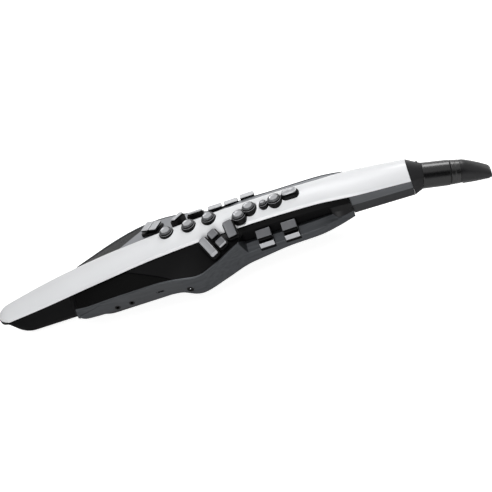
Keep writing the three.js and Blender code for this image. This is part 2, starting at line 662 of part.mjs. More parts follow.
// Key frame: a curved plate under the cover that carries the rings
const frameOuter = coverBody(keyFrame.start, keyFrame.end, -(cover.wall + gap), 0);
const frameSink = cover.wall + gap + keyFrame.thick;
const frameInner = coverBody(keyFrame.start - overrun, keyFrame.end + overrun, -frameSink, overrun);
const frameTop = crestHeight + cover.crown;
const frameWidth = block(at(keyFrame.start), at(keyFrame.end), -keyFrame.half, keyFrame.half, 0, frameTop);
const rings = fingerKeys.map((key) => standing(fingerRing(key.form), key.place, key.across, surfaceAt(key)));
const frontWell = frontBlank(finger.play, 0, finger.top);
const frontCup = frontBlank(frontCornerGrow, ringLow, finger.ringTop).subtract(frontWell);
rings.push(standing(frontCup, frontPlace, frontKeyAcross, frontSurface));
const stemBores = fingerKeys.map((key) => standing(stemBore, key.place, key.across, surfaceAt(key)));
stemBores.push(standing(stemBore, frontPlace, frontKeyAcross, frontSurface));
const ringCups = fingerKeys.map((key) => standing(
  rod(key.form.radius + finger.play, 0, finger.top, finger.facets), key.place, key.across, surfaceAt(key),
));
ringCups.push(standing(frontBlank(finger.play, 0, finger.top), frontPlace, frontKeyAcross, frontSurface));
const framePlate = frameOuter.intersect(frameWidth).subtract(frameInner);
addPart('key_frame', cut(join([framePlate, ...rings]), [...ringCups, ...stemBores]), blackPlastic);

// Finger keys
fingerKeys.forEach((key) => {
  addPart(key.name, standing(fingerKey(key.form), key.place, key.across, surfaceAt(key)), keyPlastic);
});
const { length: frontLength, width: frontWidth, corner: frontCorner, bevel: frontBevel } = frontKey;
const frontCap = bevelledPlate(frontLength, frontWidth, finger.bottom, finger.top, frontCorner, frontBevel)
  .add(rod(finger.stem, -finger.stemReach, stemTop, finger.facets));
addPart('front_key', standing(frontCap, frontPlace, frontKeyAcross, frontSurface), keyPlastic);

// Switch board on the back case, with a dome under every stem
const boardRun = stations(board.start, board.end, 8);
const boardSlab = loft(boardRun.map((fromBell) => {
  const low = edgeHeight(fromBell);
  return [[-board.half, low], [board.half, low], [board.half, low + board.thick], [-board.half, low + board.thick]]
    .map(([y, z]) => [at(fromBell), y, z]);
}));
const domeDrop = finger.stemReach + finger.travel + gap;
const domes = [...fingerKeys, { place: frontPlace, across: frontKeyAcross }].map((key) => standing(
  rod(board.dome, edgeHeight(key.place) - surfaceAt(key) + board.thick / 2, -domeDrop, finger.facets / 2),
  key.place, key.across, surfaceAt(key),
));
addPart('circuit_board', join([boardSlab, ...domes]), boardGreen);

// Tables of the little-finger and side keys: each key has a place in the plane of its table
const tableGroup = (place, side, tilt) => {
  return seatedGroup(at(place), side * coverHalf(place), edgeHeight(place), -side * degrees(tilt));
};
const leftPlace = tableGroup(leftTable.at, -1, leftTable.tilt);
const rightPlace = tableGroup(rightTable.at, 1, rightTable.tilt);
const trillPlace = tableGroup(trill.at, 1, trill.tilt);
const crossPlace = tableGroup(crossKey.at, 1, crossKey.tilt);
const squareSize = { length: square.size, width: square.size, turn: square.turn };
const pinkyStep = (pinkyPlate.width + pinkyPlate.seam) / 2;
const pinkyAlong = pinkyStep * Math.sin(degrees(pinkyPlate.turn));
const pinkyDown = pinkyStep * Math.cos(degrees(pinkyPlate.turn));
const tableKeys = [
  { name: 'g_sharp_key', group: leftPlace, side: -1, lift: leftTable.lift, ...gSharp },
  {
    name: 'c_sharp_key', group: leftPlace, side: -1, lift: leftTable.lift, ...squareSize,
    along: square.along, down: square.down,
  },
  {
    name: 'low_b_key', group: leftPlace, side: -1, lift: leftTable.lift, ...squareSize,
    along: square.along + square.stepAlong, down: square.down + square.stepDown,
  },
  { name: 'low_b_flat_key', group: leftPlace, side: -1, lift: leftTable.lift, ...lowKey },
  {
    name: 'low_c_key', group: rightPlace, side: 1, lift: rightTable.lift, ...pinkyPlate,
    along: -pinkyAlong, down: pinkyPlate.down + pinkyDown,
  },
  {
    name: 'e_flat_key', group: rightPlace, side: 1, lift: rightTable.lift, ...pinkyPlate,
    along: pinkyAlong, down: pinkyPlate.down - pinkyDown,
  },
  { name: 'trill_key', group: trillPlace, side: 1, ...trill, along: 0 },
  { name: 'cross_key', group: crossPlace, side: 1, ...crossKey, along: 0 },
];

const baseTop = (key) => key.lift - plate.travel - island.clear;
const stemDown = (key) => Math.max(key.down, plate.stemClear);

function placedOnTable(solid, key) {
  const turnedSolid = turnedBy(solid, 0, 0, degrees(key.turn));
  return moved(turnedSolid, key.along, key.side * key.down, 0);
}

function tableKey(key) {
  const top = key.lift + plate.thick;
  const cap = placedOnTable(bevelledPlate(key.length, key.width, key.lift, top, plate.corner, plate.bevel), key);
  const stem = rod(plate.stem, baseTop(key) - plate.stemReach, key.lift + plate.thick / 2, finger.facets / 2);
  return cap.add(moved(stem, key.along, key.side * stemDown(key), 0));
}

function tableIsland(key) {
  const [length, width] = [key.length, key.width].map((size) => size + 2 * island.margin);
  const blank = bevelledPlate(length, width, -island.depth, baseTop(key), plate.corner + island.margin, plate.bevel);
  return carried(placedOnTable(blank, key), key.group.matrixWorld);
}

function tableBore(key) {
  const bore = rod(plate.stem + plate.stemPlay, -plate.boreFloor, key.lift, finger.facets / 2);
  return carried(moved(bore, key.along, key.side * stemDown(key), 0), key.group.matrixWorld);
}

tableKeys.forEach((key) => addPart(key.name, tableKey(key), keyPlastic, key.group));
const tableBores = tableKeys.map(tableBore);
const grownCover = coverBody(wing.start, wing.end, gap, overrun);
const leftFill = wingFill(-1, gap);
const rightFill = wingFill(1, gap);

// Black bases that the tables stand on
const leftKeys = tableKeys.filter((key) => key.group === leftPlace);
const padLength = gSharp.along - lowKey.along + gSharp.length / 2;
const padWidth = 2 * plate.stemClear + plate.thick;
const padBlank = bevelledPlate(padLength, padWidth, -island.depth, leftTable.pad, plate.corner, 0);
const padMiddle = (gSharp.along + lowKey.along) / 2;
const padShift = new THREE.Matrix4().makeTranslation(padMiddle, -plate.stemClear - plate.thick, 0);
const leftPad = carried(padBlank, new THREE.Matrix4().multiplyMatrices(leftPlace.matrixWorld, padShift));
const leftBase = join([leftPad, ...leftKeys.map(tableIsland)]);
addPart('left_table_base', cut(leftBase, [grownCover, leftFill, ...ringHoles, ...tableBores]), blackPlastic);

const pinkyKeys = tableKeys.filter((key) => key.group === rightPlace);
const pinkyBase = cut(join(pinkyKeys.map(tableIsland)), [grownCover, rightFill, ...tableBores]);
addPart('right_pinky_base', pinkyBase, blackPlastic);

const trillKeys = tableKeys.filter((key) => key.group === trillPlace || key.group === crossPlace);
const crossEnd = crossKey.at - crossKey.length / 2;
const padPlace = (trill.at + crossEnd) / 2;
const padHalf = (crossEnd - trill.at) / 2 + trillPad.half;
const padRun = [padPlace - padHalf, padPlace + padHalf];
const padReach = coverHalf(padPlace) + (trill.down + crossKey.down) / 2;
const trillBridge = loft(padRun.map((fromBell) => {
  const [inner, outer] = [padReach - trillPad.half, padReach + trillPad.half];
  const top = (reach) => skinTop(fromBell, 1, reach) + gap + trillPad.thick;
  const foot = [[inner, top(inner) - island.depth], [outer, top(outer) - island.depth]];
  return [...foot, [outer, top(outer)], [inner, top(inner)]]
    .map(([y, z]) => [at(fromBell), y, z]);
}));
const trillBase = join([trillBridge, ...trillKeys.map(tableIsland)]);
addPart('right_trill_base', cut(trillBase, [grownCover, rightFill, ...tableBores]), blackPlastic);

// Side keys on their block
const sidePlaces = [0, 1, 2].map((step) => sideKey.at + step * sideKey.pitch);
const sideStemAt = sideKey.front + sideKey.width / 2;
const blockStart = sidePlaces[0] - sideKey.length / 2 - sideBlock.margin;
const blockEnd = sidePlaces[2] + sideKey.length / 2 + sideBlock.margin;
const sideBores = sidePlaces.map((place) => moved(
  rod(plate.stem + plate.stemPlay, sideBlock.top - sideBlock.boreDepth, sideBlock.top + overrun, finger.facets / 2),
  at(place), sideStemAt, 0,
));
const blockFront = sideKey.front - sideBlock.margin;
const sideBody = block(at(blockStart), at(blockEnd), blockFront, sideBlock.outer, sideBlock.bottom, sideBlock.top);
const sideRecess = block(
  at(blockStart - gap), at(blockEnd + gap), blockFront - gap,
  sideKey.front + sideKey.width + sideBlock.margin,
  sideBlock.bottom - gap, crestHeight + cover.crown,
);
addPart('side_key_block', cut(sideBody, sideBores), blackPlastic);
sidePlaces.forEach((place, index) => {
  const low = sideBlock.top + sideKey.clear;
  const thick = index === 2 ? sideKey.tallThick : sideKey.thick;
  const cap = bevelledPlate(sideKey.length, sideKey.width, low, low + thick, plate.corner, plate.bevel);
  const stem = rod(plate.stem, sideBlock.top - sideKey.clear, low + sideKey.thick / 2, finger.facets / 2);
  const name = ['side_c_key', 'side_b_flat_key', 'high_e_key'][index];
  addPart(name, moved(cap.add(stem), at(place), sideStemAt, 0), keyPlastic);
});

// Palm keys: bent levers that hang from the wall of the well and reach down over the ledge
const palmPlaces = [palm.at, palm.at + palm.pitch];
const palmOutline = [
  [palm.topAt, palm.topHeight], [palm.kneeAt, palm.kneeHeight], [palm.waistAt, palm.waistTop],
  [palm.waistAt, palm.waistBottom],
  [palm.lipAt, palm.lipTop], [palm.lipAt, palm.lipBottom], [palm.lipAt - palm.thick, palm.lipBottom],
  [palm.lipAt - palm.thick, palm.lipTop - palm.thick],
  [palm.waistAt - palm.thick, palm.waistBottom - palm.neckThick],
  [palm.waistAt - palm.thick, palm.waistTop], [palm.hingeAt, palm.hingeBottom],
  [palm.hingeAt, palm.hingeTop],
].map(([y, z]) => [-y, z]);
palmPlaces.forEach((place, index) => {
  const bentLever = bar(palmOutline, at(place - palm.length / 2), at(place + palm.length / 2));
  addPart(['palm_d_key', 'palm_f_key'][index], bentLever, keyPlastic);
});
const palmPockets = palmPlaces.flatMap((place) => {
  const [start, end] = [at(place - palm.length / 2 - palm.play), at(place + palm.length / 2 + palm.play)];
  const outer = palm.lipAt + overrun;
  return [
    block(start, end, -outer, -palm.pocketInner, palm.pocketUpper, well.shelfHeight + palm.play),
    block(start, end, -outer, -palm.pocketDeep, palm.pocketLower, well.shelfHeight + palm.play),
  ];
});

// Grilles and decks on the wings: the same skin, parted along a slanting line
const parting = [
  { side: -1, name: 'left', inner: grille.innerTurn, outer: grille.outerTurn },
  { side: 1, name: 'right', inner: grille.rightInnerTurn, outer: grille.rightOuterTurn },
];
parting.forEach(({ side, name, inner, outer }) => {
  const deckCut = bellSide(side, inner, outer, gap);
  const grilleSide = bellSide(side, inner, outer, -gap);
  const deck = cut(skinBody(side, 0), [deckCut, ...tableBores, sideRecess]);
  addPart(`${name}_deck`, deck, side < 0 ? blackPlastic : greyPlastic);
  addPart(`${name}_grille`, skinBody(side, grille.drop).intersect(grilleSide), blackPlastic);
});

// Loudspeakers in their pockets under the grilles
function speakerBody(grow) {
  const top = skinTop(speaker.at, 1, speaker.across) - speaker.below;
  return [top, speaker.radius + grow, speaker.depth + grow, speaker.magnetRadius + grow, speaker.magnetDepth];
}
[-1, 1].forEach((side) => {
  const [top, radius, depth, magnet, magnetDepth] = speakerBody(0);
  const profile = [
    [0, top - depth - magnetDepth], [magnet, top - depth - magnetDepth], [magnet, top - depth],
    [radius, top - speaker.coneDip],
    [radius, top], [speaker.coneRadius, top], [speaker.capRadius, top - speaker.coneDip],
    [0, top - speaker.capDip],
  ];
  const name = side < 0 ? 'left_speaker' : 'right_speaker';
  addPart(name, moved(turned(profile, finger.facets), at(speaker.at), side * speaker.across, 0), coneBlack);
});
const speakerPockets = [-1, 1].flatMap((side) => {
  const [top, radius, depth, magnet, magnetDepth] = speakerBody(gap);
  const floor = top - depth - magnetDepth - gap;
  const profile = [
    [0, floor], [magnet, floor], [magnet, top - depth], [radius, top - speaker.coneDip - gap],
    [radius, top + 2 * overrun], [0, top + 2 * overrun],
  ];
  return [moved(turned(profile, finger.facets), at(speaker.at), side * speaker.across, 0)];
});

// Sockets in the left wall
const jackFace = (place, height) => {
  const [outer, rim] = [rimReach(place), rimHeight(place)];
  const [foot, low] = [lowerReach(place), lowerHeight(place)];
  return lerp(foot, outer, (height - low) / (rim - low));
};
const jacks = [[jack.phonesAt, jack.phonesHeight], [jack.outputAt, jack.outputHeight]];
function facingLeft(solid, place, reach, height) {
  return moved(turnedBy(solid, Math.PI / 2, 0, 0), at(place), -reach, height);
}
const atJacks = (form) => jacks.map(([place, height]) => {
  const face = jackFace(place, height);
  return facingLeft(form(jackBoard.face - face), place, face, height);
});
const jackBushes = atJacks((depth) => rod(jack.radius, depth, jack.flange, finger.facets));
const jackBores = atJacks(() => rod(jack.bore, jack.flange - jack.boreDepth, overrun, finger.facets / 2));
const jackPlate = block(
  at(jackBoard.start), at(jackBoard.end), -jackBoard.face - jackBoard.thick, -jackBoard.face, jackBoard.low,
  jackBoard.high,
);
addPart('side_jacks', cut(join([jackPlate, ...jackBushes]), jackBores), coneBlack);
const jackHoles = atJacks((depth) => rod(jack.radius + gap, depth - overrun, overrun, finger.facets));
const jackPocket = block(
  at(jackBoard.start - jackBoard.pocket), at(jackBoard.end + jackBoard.pocket), -wing.reach,
  -jackBoard.face + gap,
  jackBoard.low - jackBoard.pocket, jackBoard.high + jackBoard.pocket,
);
const portFace = jackFace(port.at, port.height);
const portHole = block(
  at(port.at - port.length / 2), at(port.at + port.length / 2), -portFace - overrun, -portFace + port.depth,
  port.height - port.thick / 2, port.height + port.thick / 2,
);
const inletFace = jackFace(inlet.at, inlet.height);
const inletRod = rod(inlet.radius, -inlet.depth, overrun, finger.facets);
const inletHole = facingLeft(inletRod, inlet.at, inletFace, inlet.height);

// Side walls
addPart('left_band', cut(wallBody(-1), [...palmPockets, ...jackHoles, portHole, inletHole]), blackPlastic);
addPart('right_band', cut(wallBody(1), [sideRecess]), greyPlastic);

// Neck
const neckOutline = (fromBell) => {
  const share = (fromBell - neckStart) / (caseLength - neckStart);
  const drawnIn = lerp(1, coverHalf(caseLength) / coverHalf(neckStart), share);
  const facet = neck.facetHeight - neck.facetDrop * share;
  const floor = neck.floorHeight - neck.floorDrop * share;
  return [
    [seatAt(fromBell), edgeHeight(fromBell) - gap], [neck.facetAt * drawnIn, facet],
    [neck.floorHalf + neck.chamfer, floor + neck.chamfer], [neck.floorHalf, floor],
  ];
};
addPart('neck_case', loft(stations(neckStart, caseLength, 4).map((fromBell) => {
  const half = neckOutline(fromBell);
  return [...half.map(([y, z]) => [at(fromBell), -y, z]), ...half.reverse().map(([y, z]) => [at(fromBell), y, z])];
})), greyPlastic);

// Collar: the neck's section drawn into the round barrel, which is tilted down
const collarStart = caseLength + gap;
const collarEnd = collarStart + collar.run;
const barrelPlace = seatedGroup(at(collarEnd), 0, barrel.centreHeight, 0, degrees(barrel.tilt));
const lowerHalf = neckOutline(caseLength);
const collarOutline = [
  ...coverOutline(caseLength, 0), [coverHalf(caseLength), edgeHeight(caseLength)], ...lowerHalf.slice(1),
  ...lowerHalf.slice(1).reverse().map(([y, z]) => [-y, z]), [-coverHalf(caseLength), edgeHeight(caseLength)],
];
const collarRings = [0, 0.3, 0.65, 1].map((share) => collarOutline.map(([y, z]) => {
  const angle = Math.atan2(z - barrel.centreHeight, y);
  const round = new THREE.Vector3(0, barrel.radius * Math.cos(angle), barrel.radius * Math.sin(angle))
    .applyMatrix4(barrelPlace.matrixWorld);
  return mix([at(collarStart), y, z], round.toArray(), Math.sin(share * Math.PI / 2));
}));
addPart('collar', loft(collarRings), blackPlastic);

// Barrel, band and mouthpiece along the tilted axis
const alongAxis = (solid) => turnedBy(solid, 0, Math.PI / 2, 0);
const barrelBody = turned([
  [0, gap], [barrel.radius, gap], [barrel.endRadius, barrel.length], [barrel.bore, barrel.length],
  [barrel.bore, gap + barrel.length / 4],
  [0, gap + barrel.length / 4],
], barrel.facets);
addPart('barrel', alongAxis(barrelBody), barrelPlastic, barrelPlace);
const bandStart = barrel.length + gap;
const bandEnd = bandStart + band.length;
addPart('mouthpiece_band', alongAxis(turned([
  [barrel.bore, bandStart], [band.radius - band.groove, bandStart], [band.radius, bandStart + band.groove],
  [band.endRadius, bandEnd],
  [barrel.bore, bandEnd], [barrel.bore, bandStart],
], barrel.facets)), blackPlastic, barrelPlace);
const sensorStart = gap + barrel.length / 4 + gap;
addPart('breath_sensor', alongAxis(turned([
  [0, sensorStart], [sensor.radius, sensorStart], [sensor.radius, sensorStart + sensor.length / 2],
  [sensor.nozzle, sensorStart + sensor.length / 2], [sensor.nozzle, sensorStart + sensor.length],
  [sensor.bore, sensorStart + sensor.length],
  [sensor.bore, sensorStart + sensor.length - sensor.nozzleLength],
  [0, sensorStart + sensor.length - sensor.nozzleLength],
], finger.facets)), coneBlack, barrelPlace);

// Beak: a round butt that thins to the tip, with a flat table underneath for the reed
const beakStart = bandEnd + gap;
const beakShares = [0, 0.12, 0.3, 0.5, 0.7, 0.86, 0.95, 1];
const beakTopShares = [1, 0.985, 0.83, 0.61, 0.37, 0.15, 0.02, -0.14];
const beakRings = beakShares.map((share, index) => {
  const x = beakStart + share * beak.length;
  const thinTop = -beak.tipDrop + beak.tipThick / 2 - share * beak.tipThick / 2;
  const top = Math.max(beak.radius * beakTopShares[index], thinTop);
  const bottom = lerp(-beak.radius, -beak.tipDrop - beak.tipThick, share);
  const half = lerp(beak.radius, beak.tipHalf, share);
  const centre = (top + bottom) / 2;
  const tall = (top - bottom) / 2;
  return Array.from({ length: barrel.facets }, (_, step) => {
    const angle = (step / barrel.facets) * 2 * Math.PI;
    const flattened = (value) => Math.sign(value) * Math.abs(value) ** lerp(1, beak.squareShare, share);
    return [x, half * flattened(Math.cos(angle)), centre + tall * flattened(Math.sin(angle))];
  });
});
const tipX = beakStart + beak.length;
const tableTop = (x) => {
  return lerp(-beak.radius + beak.tableDrop, -beak.tipDrop - beak.tipThick / 3, (x - beakStart) / beak.length);
};
const reedStart = tipX - reed.length;
const slotHalf = reed.half + gap;
const slotWidth = block(reedStart - gap, tipX + overrun, -slotHalf, slotHalf, -2 * beak.radius, 0);
const tableSlot = slotWidth
  .intersect(loft([reedStart - gap, tipX + overrun].map((x) => [
    [x, -2 * beak.radius, -2 * beak.radius], [x, 2 * beak.radius, -2 * beak.radius],
    [x, 2 * beak.radius, tableTop(x)],
    [x, -2 * beak.radius, tableTop(x)],
  ])));
const tenonStart = beakStart - tenon.length;
const tenonBody = alongAxis(rod(tenon.radius, tenonStart, beakStart + beak.length / 8, finger.facets));
const airway = alongAxis(rod(beak.airway, tenonStart - overrun, tipX - beak.length / 5, finger.facets / 2));
const beakBody = loft(beakRings).add(tenonBody).subtract(airway).subtract(tableSlot);
addPart('mouthpiece', beakBody, barrelPlastic, barrelPlace);

// Reed under the beak, thick at its butt and thin at its tip
const reedTop = (x) => tableTop(x) - gap - (reed.opening * Math.max(x - reedStart, 0)) / reed.length;
addPart('reed', loft([reedStart, tipX - gap].map((x, end) => {
  const low = reedTop(x) - (end ? reed.tipThick : reed.thick);
  return [[x, -reed.half, low], [x, reed.half, low], [x, reed.half, reedTop(x)], [x, -reed.half, reedTop(x)]];
})), blackPlastic, barrelPlace);

// Back case with its channel, bay, pockets and bores
const cellPitch = 2 * cell.radius + cell.gap;
const bayHalf = (cell.rows * cellPitch + cell.gap) / 2;
const bayLength = 2 * (cell.length + cell.nub) + 3 * cell.gap;
const bayTop = bay.floor + 2 * cell.radius + cell.gap;
const channelCut = block(at(channel.start), at(channel.end), -wing.reach, wing.reach, -overrun, channel.ceiling);
const bayCut = block(at(bay.start), at(bay.start + bayLength), -bayHalf, bayHalf, -overrun, bayTop);
const lidHalf = bayHalf + batteryCover.lip;
const lidStart = bay.start - batteryCover.lip;
const lidCutHalf = lidHalf + gap;
const lidCut = block(at(lidStart - gap), at(channel.start + gap), -lidCutHalf, lidCutHalf, -overrun, bay.floor - gap);
const footCut = block(
  at(hook.at - hook.footLength / 2 - hook.slide - gap),
  at(hook.at + hook.footLength / 2 + hook.slide + gap),
  -hook.footHalf - gap, hook.footHalf + gap, channel.ceiling - gap, channel.ceiling + hook.foot + gap,
);
const plateCut = block(
  at(strap.at - strap.plateLength / 2 - gap), at(strap.at + strap.plateLength / 2 + gap),
  -strap.plateHalf - gap, strap.plateHalf + gap,
  channel.ceiling - overrun, channel.ceiling + strap.plate + gap,
);
function lowBore(place, radius) {
  return moved(rod(radius + gap, 0, keelHeight(place) + controlBore, finger.facets / 2), at(place), 0, 0);
}
const octavePlaces = [-1, 1].map((side) => thumbRest.at + side * (thumbRest.radius + octave.gap + octave.length / 2));
const leverHeight = keelHeight(lever.at) + lever.sink;
const acrossAxis = (solid) => turnedBy(solid, Math.PI / 2, 0, 0);
const leverRoom = rod(lever.hub + lever.play, -lever.half - lever.play, lever.half + lever.play, finger.facets);
const leverCut = moved(acrossAxis(leverRoom), at(lever.at), 0, leverHeight);
const bareCase = caseBody();
const caseCuts = [
  channelCut, bayCut, lidCut, footCut, plateCut, leverCut, jackPocket, ...jackHoles, portHole,
  ...palmPockets, ...tableBores, sideRecess, ...speakerPockets,
  ...octavePlaces.map((place) => lowBore(place, plate.stem)),
  lowBore(dial.at, plate.stem), lowBore(power.at, plate.stem),
];
addPart('back_case', cut(bareCase, caseCuts), blackPlastic);

// Piece of a block that follows the underside of the case at a clearance
function underCase(blank, clear, thick) {
  return blank.intersect(moved(bareCase, 0, 0, -clear - thick)).subtract(moved(bareCase, 0, 0, -clear));
}

// Button under the case on a stem, with its face parallel to the case
function lowButton(place, length, { half, thick, clear }) {
  const outline = roundedOutline(length, 2 * half, 2 * plate.corner);
  const blank = moved(prism(outline, -overrun, crestHeight), at(place), 0, 0);
  const floor = keelHeight(place);
  const stem = moved(rod(plate.stem, floor - clear - thick / 2, floor + clear, finger.facets / 2), at(place), 0, 0);
  return underCase(blank, clear, thick).add(stem);
}

// Battery cover with finger ridges, and the cells above it
const lidTop = batteryCover.lift + batteryCover.thick;
const lid = block(at(lidStart), at(channel.start), -lidHalf, lidHalf, batteryCover.lift, lidTop);
const grooves = Array.from({ length: batteryCover.ridges }, (_, index) => {
  const x = at(channel.start - (index + 1) * batteryCover.ridgePitch);
  const ridgeTop = batteryCover.lift + batteryCover.ridge;
  return block(x, x + batteryCover.ridgeWidth, -bayHalf / 2, bayHalf / 2, 0, ridgeTop);
});
addPart('battery_cover', cut(lid, grooves), blackPlastic);
[0, 1].forEach((end) => {
  Array.from({ length: cell.rows }, (_, row) => {
    const start = bay.start + cell.gap + end * (cell.length + cell.nub + cell.gap);
    const profile = [
      [0, 0], [cell.radius, 0], [cell.radius, cell.length], [cell.nubRadius, cell.length],
      [cell.nubRadius, cell.length + cell.nub],
      [0, cell.length + cell.nub],
    ];
    const y = (row - (cell.rows - 1) / 2) * cellPitch;
    const body = moved(alongAxis(turned(profile, cell.facets)), at(start), y, bay.floor + cell.radius);
    addPart(`cell_${end * cell.rows + row + 1}`, body, cellSleeve);
  });
});

// Thumb hook: a foot in the channel's ceiling and an arm that turns out to the right
const footTop = channel.ceiling + hook.foot;
const hookFoot = block(
  at(hook.at - hook.footLength / 2), at(hook.at + hook.footLength / 2), -hook.footHalf, hook.footHalf,
  channel.ceiling, footTop,
);
const bendCentre = [hook.armAt + hook.thick + hook.bend, hook.clear + hook.thick + hook.bend];
const arc = (radius, turnShares) => turnShares.map((share) => {
  const angle = Math.PI * (1 + share / 2);
  return [bendCentre[0] + radius * Math.cos(angle), bendCentre[1] + radius * Math.sin(angle)];
});
const arcShares = [0, 0.25, 0.5, 0.75, 1];
const armOutline = [
  [hook.armAt, channel.ceiling + hook.foot / 2], ...arc(hook.bend + hook.thick, arcShares),
  [hook.reach, hook.clear],
  [hook.reach, hook.clear + hook.thick], ...arc(hook.bend, [...arcShares].reverse()),
  [hook.armAt + hook.thick, channel.ceiling + hook.foot / 2],
];
const hookArm = bar(armOutline, at(hook.at - hook.width / 2), at(hook.at + hook.width / 2));
addPart('thumb_hook', hookFoot.add(hookArm), blackPlastic);

// Strap ring hanging from a small plate
const ringTube = Array.from({ length: strap.wireFacets }, (_, step) => {
  const angle = (step / strap.wireFacets) * 2 * Math.PI;
  return [strap.radius + strap.wire * Math.cos(angle), strap.wire * Math.sin(angle)];
});
const strapWire = alongAxis(turned([...ringTube, ringTube[0]], strap.facets));
const strapLoop = moved(strapWire, at(strap.at), 0, channel.ceiling - strap.radius);
const strapPlate = block(
  at(strap.at - strap.plateLength / 2), at(strap.at + strap.plateLength / 2), -strap.plateHalf,
  strap.plateHalf,
  channel.ceiling, channel.ceiling + strap.plate,
);
addPart('strap_ring', strapLoop.add(strapPlate), steel);

// Thumb rest with an octave key on each side of it
const restBlank = moved(rod(thumbRest.radius, -overrun, crestHeight, finger.facets), at(thumbRest.at), 0, 0);
addPart('thumb_rest', underCase(restBlank, gap, thumbRest.thick), blackPlastic);
octavePlaces.forEach((place, index) => {
  const key = lowButton(place, octave.length, octave);
  addPart(['octave_down_key', 'octave_up_key'][index], key, keyPlastic);
});

// Thumb lever: a hub in a round pocket with a tab that stands out
const hub = acrossAxis(rod(lever.hub, -lever.half, lever.half, finger.facets));
const tabOutline = roundedOutline(2 * lever.half, lever.tabThick, plate.corner / 2).map(([y, x]) => [y, x]);
const tab = bar(tabOutline, 0, lever.tab);
const leverBody = hub.add(turnedBy(tab, 0, Math.PI / 2, 0));
addPart('thumb_lever', moved(leverBody, at(lever.at), 0, leverHeight), keyPlastic);

// Volume dial with a notched edge, and the power button
const dialLow = keelHeight(dial.at - dial.radius) - gap - dial.thick;
const notchOutline = Array.from({ length: 2 * dial.facets }, (_, step) => {
  const angle = (step / dial.facets) * Math.PI;
  const radius = dial.radius - (step % 2 ? dial.notch : 0);
  return [radius * Math.cos(angle), radius * Math.sin(angle)];
});
const dialBody = prism(notchOutline, dialLow, dialLow + dial.thick)
  .add(rod(plate.stem, dialLow + dial.thick / 2, keelHeight(dial.at) + dial.thick, finger.facets / 2));
addPart('volume_dial', moved(dialBody, at(dial.at), 0, 0), blackPlastic);
addPart('power_button', lowButton(power.at, power.length, power), keyPlastic);

export default controller;
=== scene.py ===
import math

import bmesh
import bpy
import numpy as np
from mathutils import Matrix, Vector


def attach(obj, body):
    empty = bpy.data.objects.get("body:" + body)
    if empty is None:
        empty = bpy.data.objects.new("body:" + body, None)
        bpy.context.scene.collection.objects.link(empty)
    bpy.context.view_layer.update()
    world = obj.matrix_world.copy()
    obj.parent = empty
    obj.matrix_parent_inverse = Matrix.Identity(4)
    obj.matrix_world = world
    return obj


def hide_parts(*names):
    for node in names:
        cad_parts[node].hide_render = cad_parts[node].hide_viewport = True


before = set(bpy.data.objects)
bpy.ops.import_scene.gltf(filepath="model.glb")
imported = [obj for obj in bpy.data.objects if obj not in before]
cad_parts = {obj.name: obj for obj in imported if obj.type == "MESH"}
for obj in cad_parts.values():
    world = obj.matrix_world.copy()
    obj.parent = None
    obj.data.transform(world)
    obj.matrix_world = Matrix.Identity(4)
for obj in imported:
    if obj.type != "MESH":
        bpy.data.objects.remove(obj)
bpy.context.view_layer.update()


# Camera. A long lens looks down the instrument's left side, turned so that the mouthpiece rises
# to the right. The point it looks at is shown a little left of and above the picture's middle.
PICTURE = 492
LENS, SENSOR, CLIP = 85.0, 36.0, (0.05, 30.0)
DISTANCE, TOWARDS_CAMERA, ROLL = 1.33, np.array([0.16, -0.76, 0.63]), math.radians(18.0)
LOOKED_AT = np.array([-0.017, 0.0, 0.072])
SHOWN_AT = (208.1, 218.7)


def view_axes(towards, roll):
    """Right, up and back axes of a camera that looks against `towards`, turned by roll."""
    back = towards / np.linalg.norm(towards)
    level = np.array([1.0, 0.0, 0.0]) - back * back[0]
    level /= np.linalg.norm(level)
    right = level * math.cos(roll) - np.cross(back, level) * math.sin(roll)
    return right, np.cross(back, right), back


right, up, back = view_axes(TOWARDS_CAMERA, ROLL)
per_pixel = DISTANCE / (LENS / SENSOR * PICTURE)
aside = (SHOWN_AT[0] - PICTURE / 2) * per_pixel
above = (PICTURE / 2 - SHOWN_AT[1]) * per_pixel
stand = LOOKED_AT + DISTANCE * back - aside * right - above * up
camera = bpy.data.objects.new("camera", bpy.data.cameras.new("camera"))
camera.data.lens, camera.data.sensor_width = LENS, SENSOR
camera.data.clip_start, camera.data.clip_end = CLIP
camera.matrix_world = Matrix(np.vstack([np.column_stack([right, up, back, stand]), [0, 0, 0, 1]]).tolist())
bpy.context.scene.collection.objects.link(camera)
bpy.context.scene.camera = camera
bpy.context.scene.view_settings.view_transform = "Standard"


# Studio. A pale floor that keeps a soft shadow, a white backdrop and surround, and three soft
# lamps: above the instrument, behind its neck and in front. A black card beside the camera is
# mirrored in the blacks and keeps them deep.
FLOOR_HALF, FLOOR_DOWN, BACKDROP_AT, BACKDROP_HEIGHT = 6.0, -0.0004, 4.5, 2.6
CARD_HALF, CARD_LOW, CARD_HIGH = 1.7, (-1.7, 0.25), (-1.35, 2.0)
FLOOR_GLOW, FLOOR_MIRROR, SURROUND_LIGHT = 0.8, 0.4, 0.36
LAMP_AIM = Vector((0, 0, 0.04))
LAMPS = {
    "lamp_above": ((0.1, 0.14, 0.72), 0.4, 1.7),
    "lamp_behind": ((0.6, 0.72, 0.8), 0.42, 5.0),
    "lamp_front": ((-0.15, -1.2, 0.4), 0.7, 8.5),
}


class Signal:
    """A node's output. Sums and products of signals and numbers add Math nodes."""

    def __init__(self, finish, socket):
        self.finish, self.socket = finish, socket

    def maths(self, operation, *others):
        """The output of a Math node that takes this output and the others."""
        return self.finish.node("ShaderNodeMath", {"operation": operation}, self, *others)

    def __add__(self, other):
        return self.maths("ADD", other)

    def __mul__(self, other):
        return self.maths("MULTIPLY", other)

    def __rsub__(self, other):
        return self.finish.node("ShaderNodeMath", {"operation": "SUBTRACT"}, other, self)


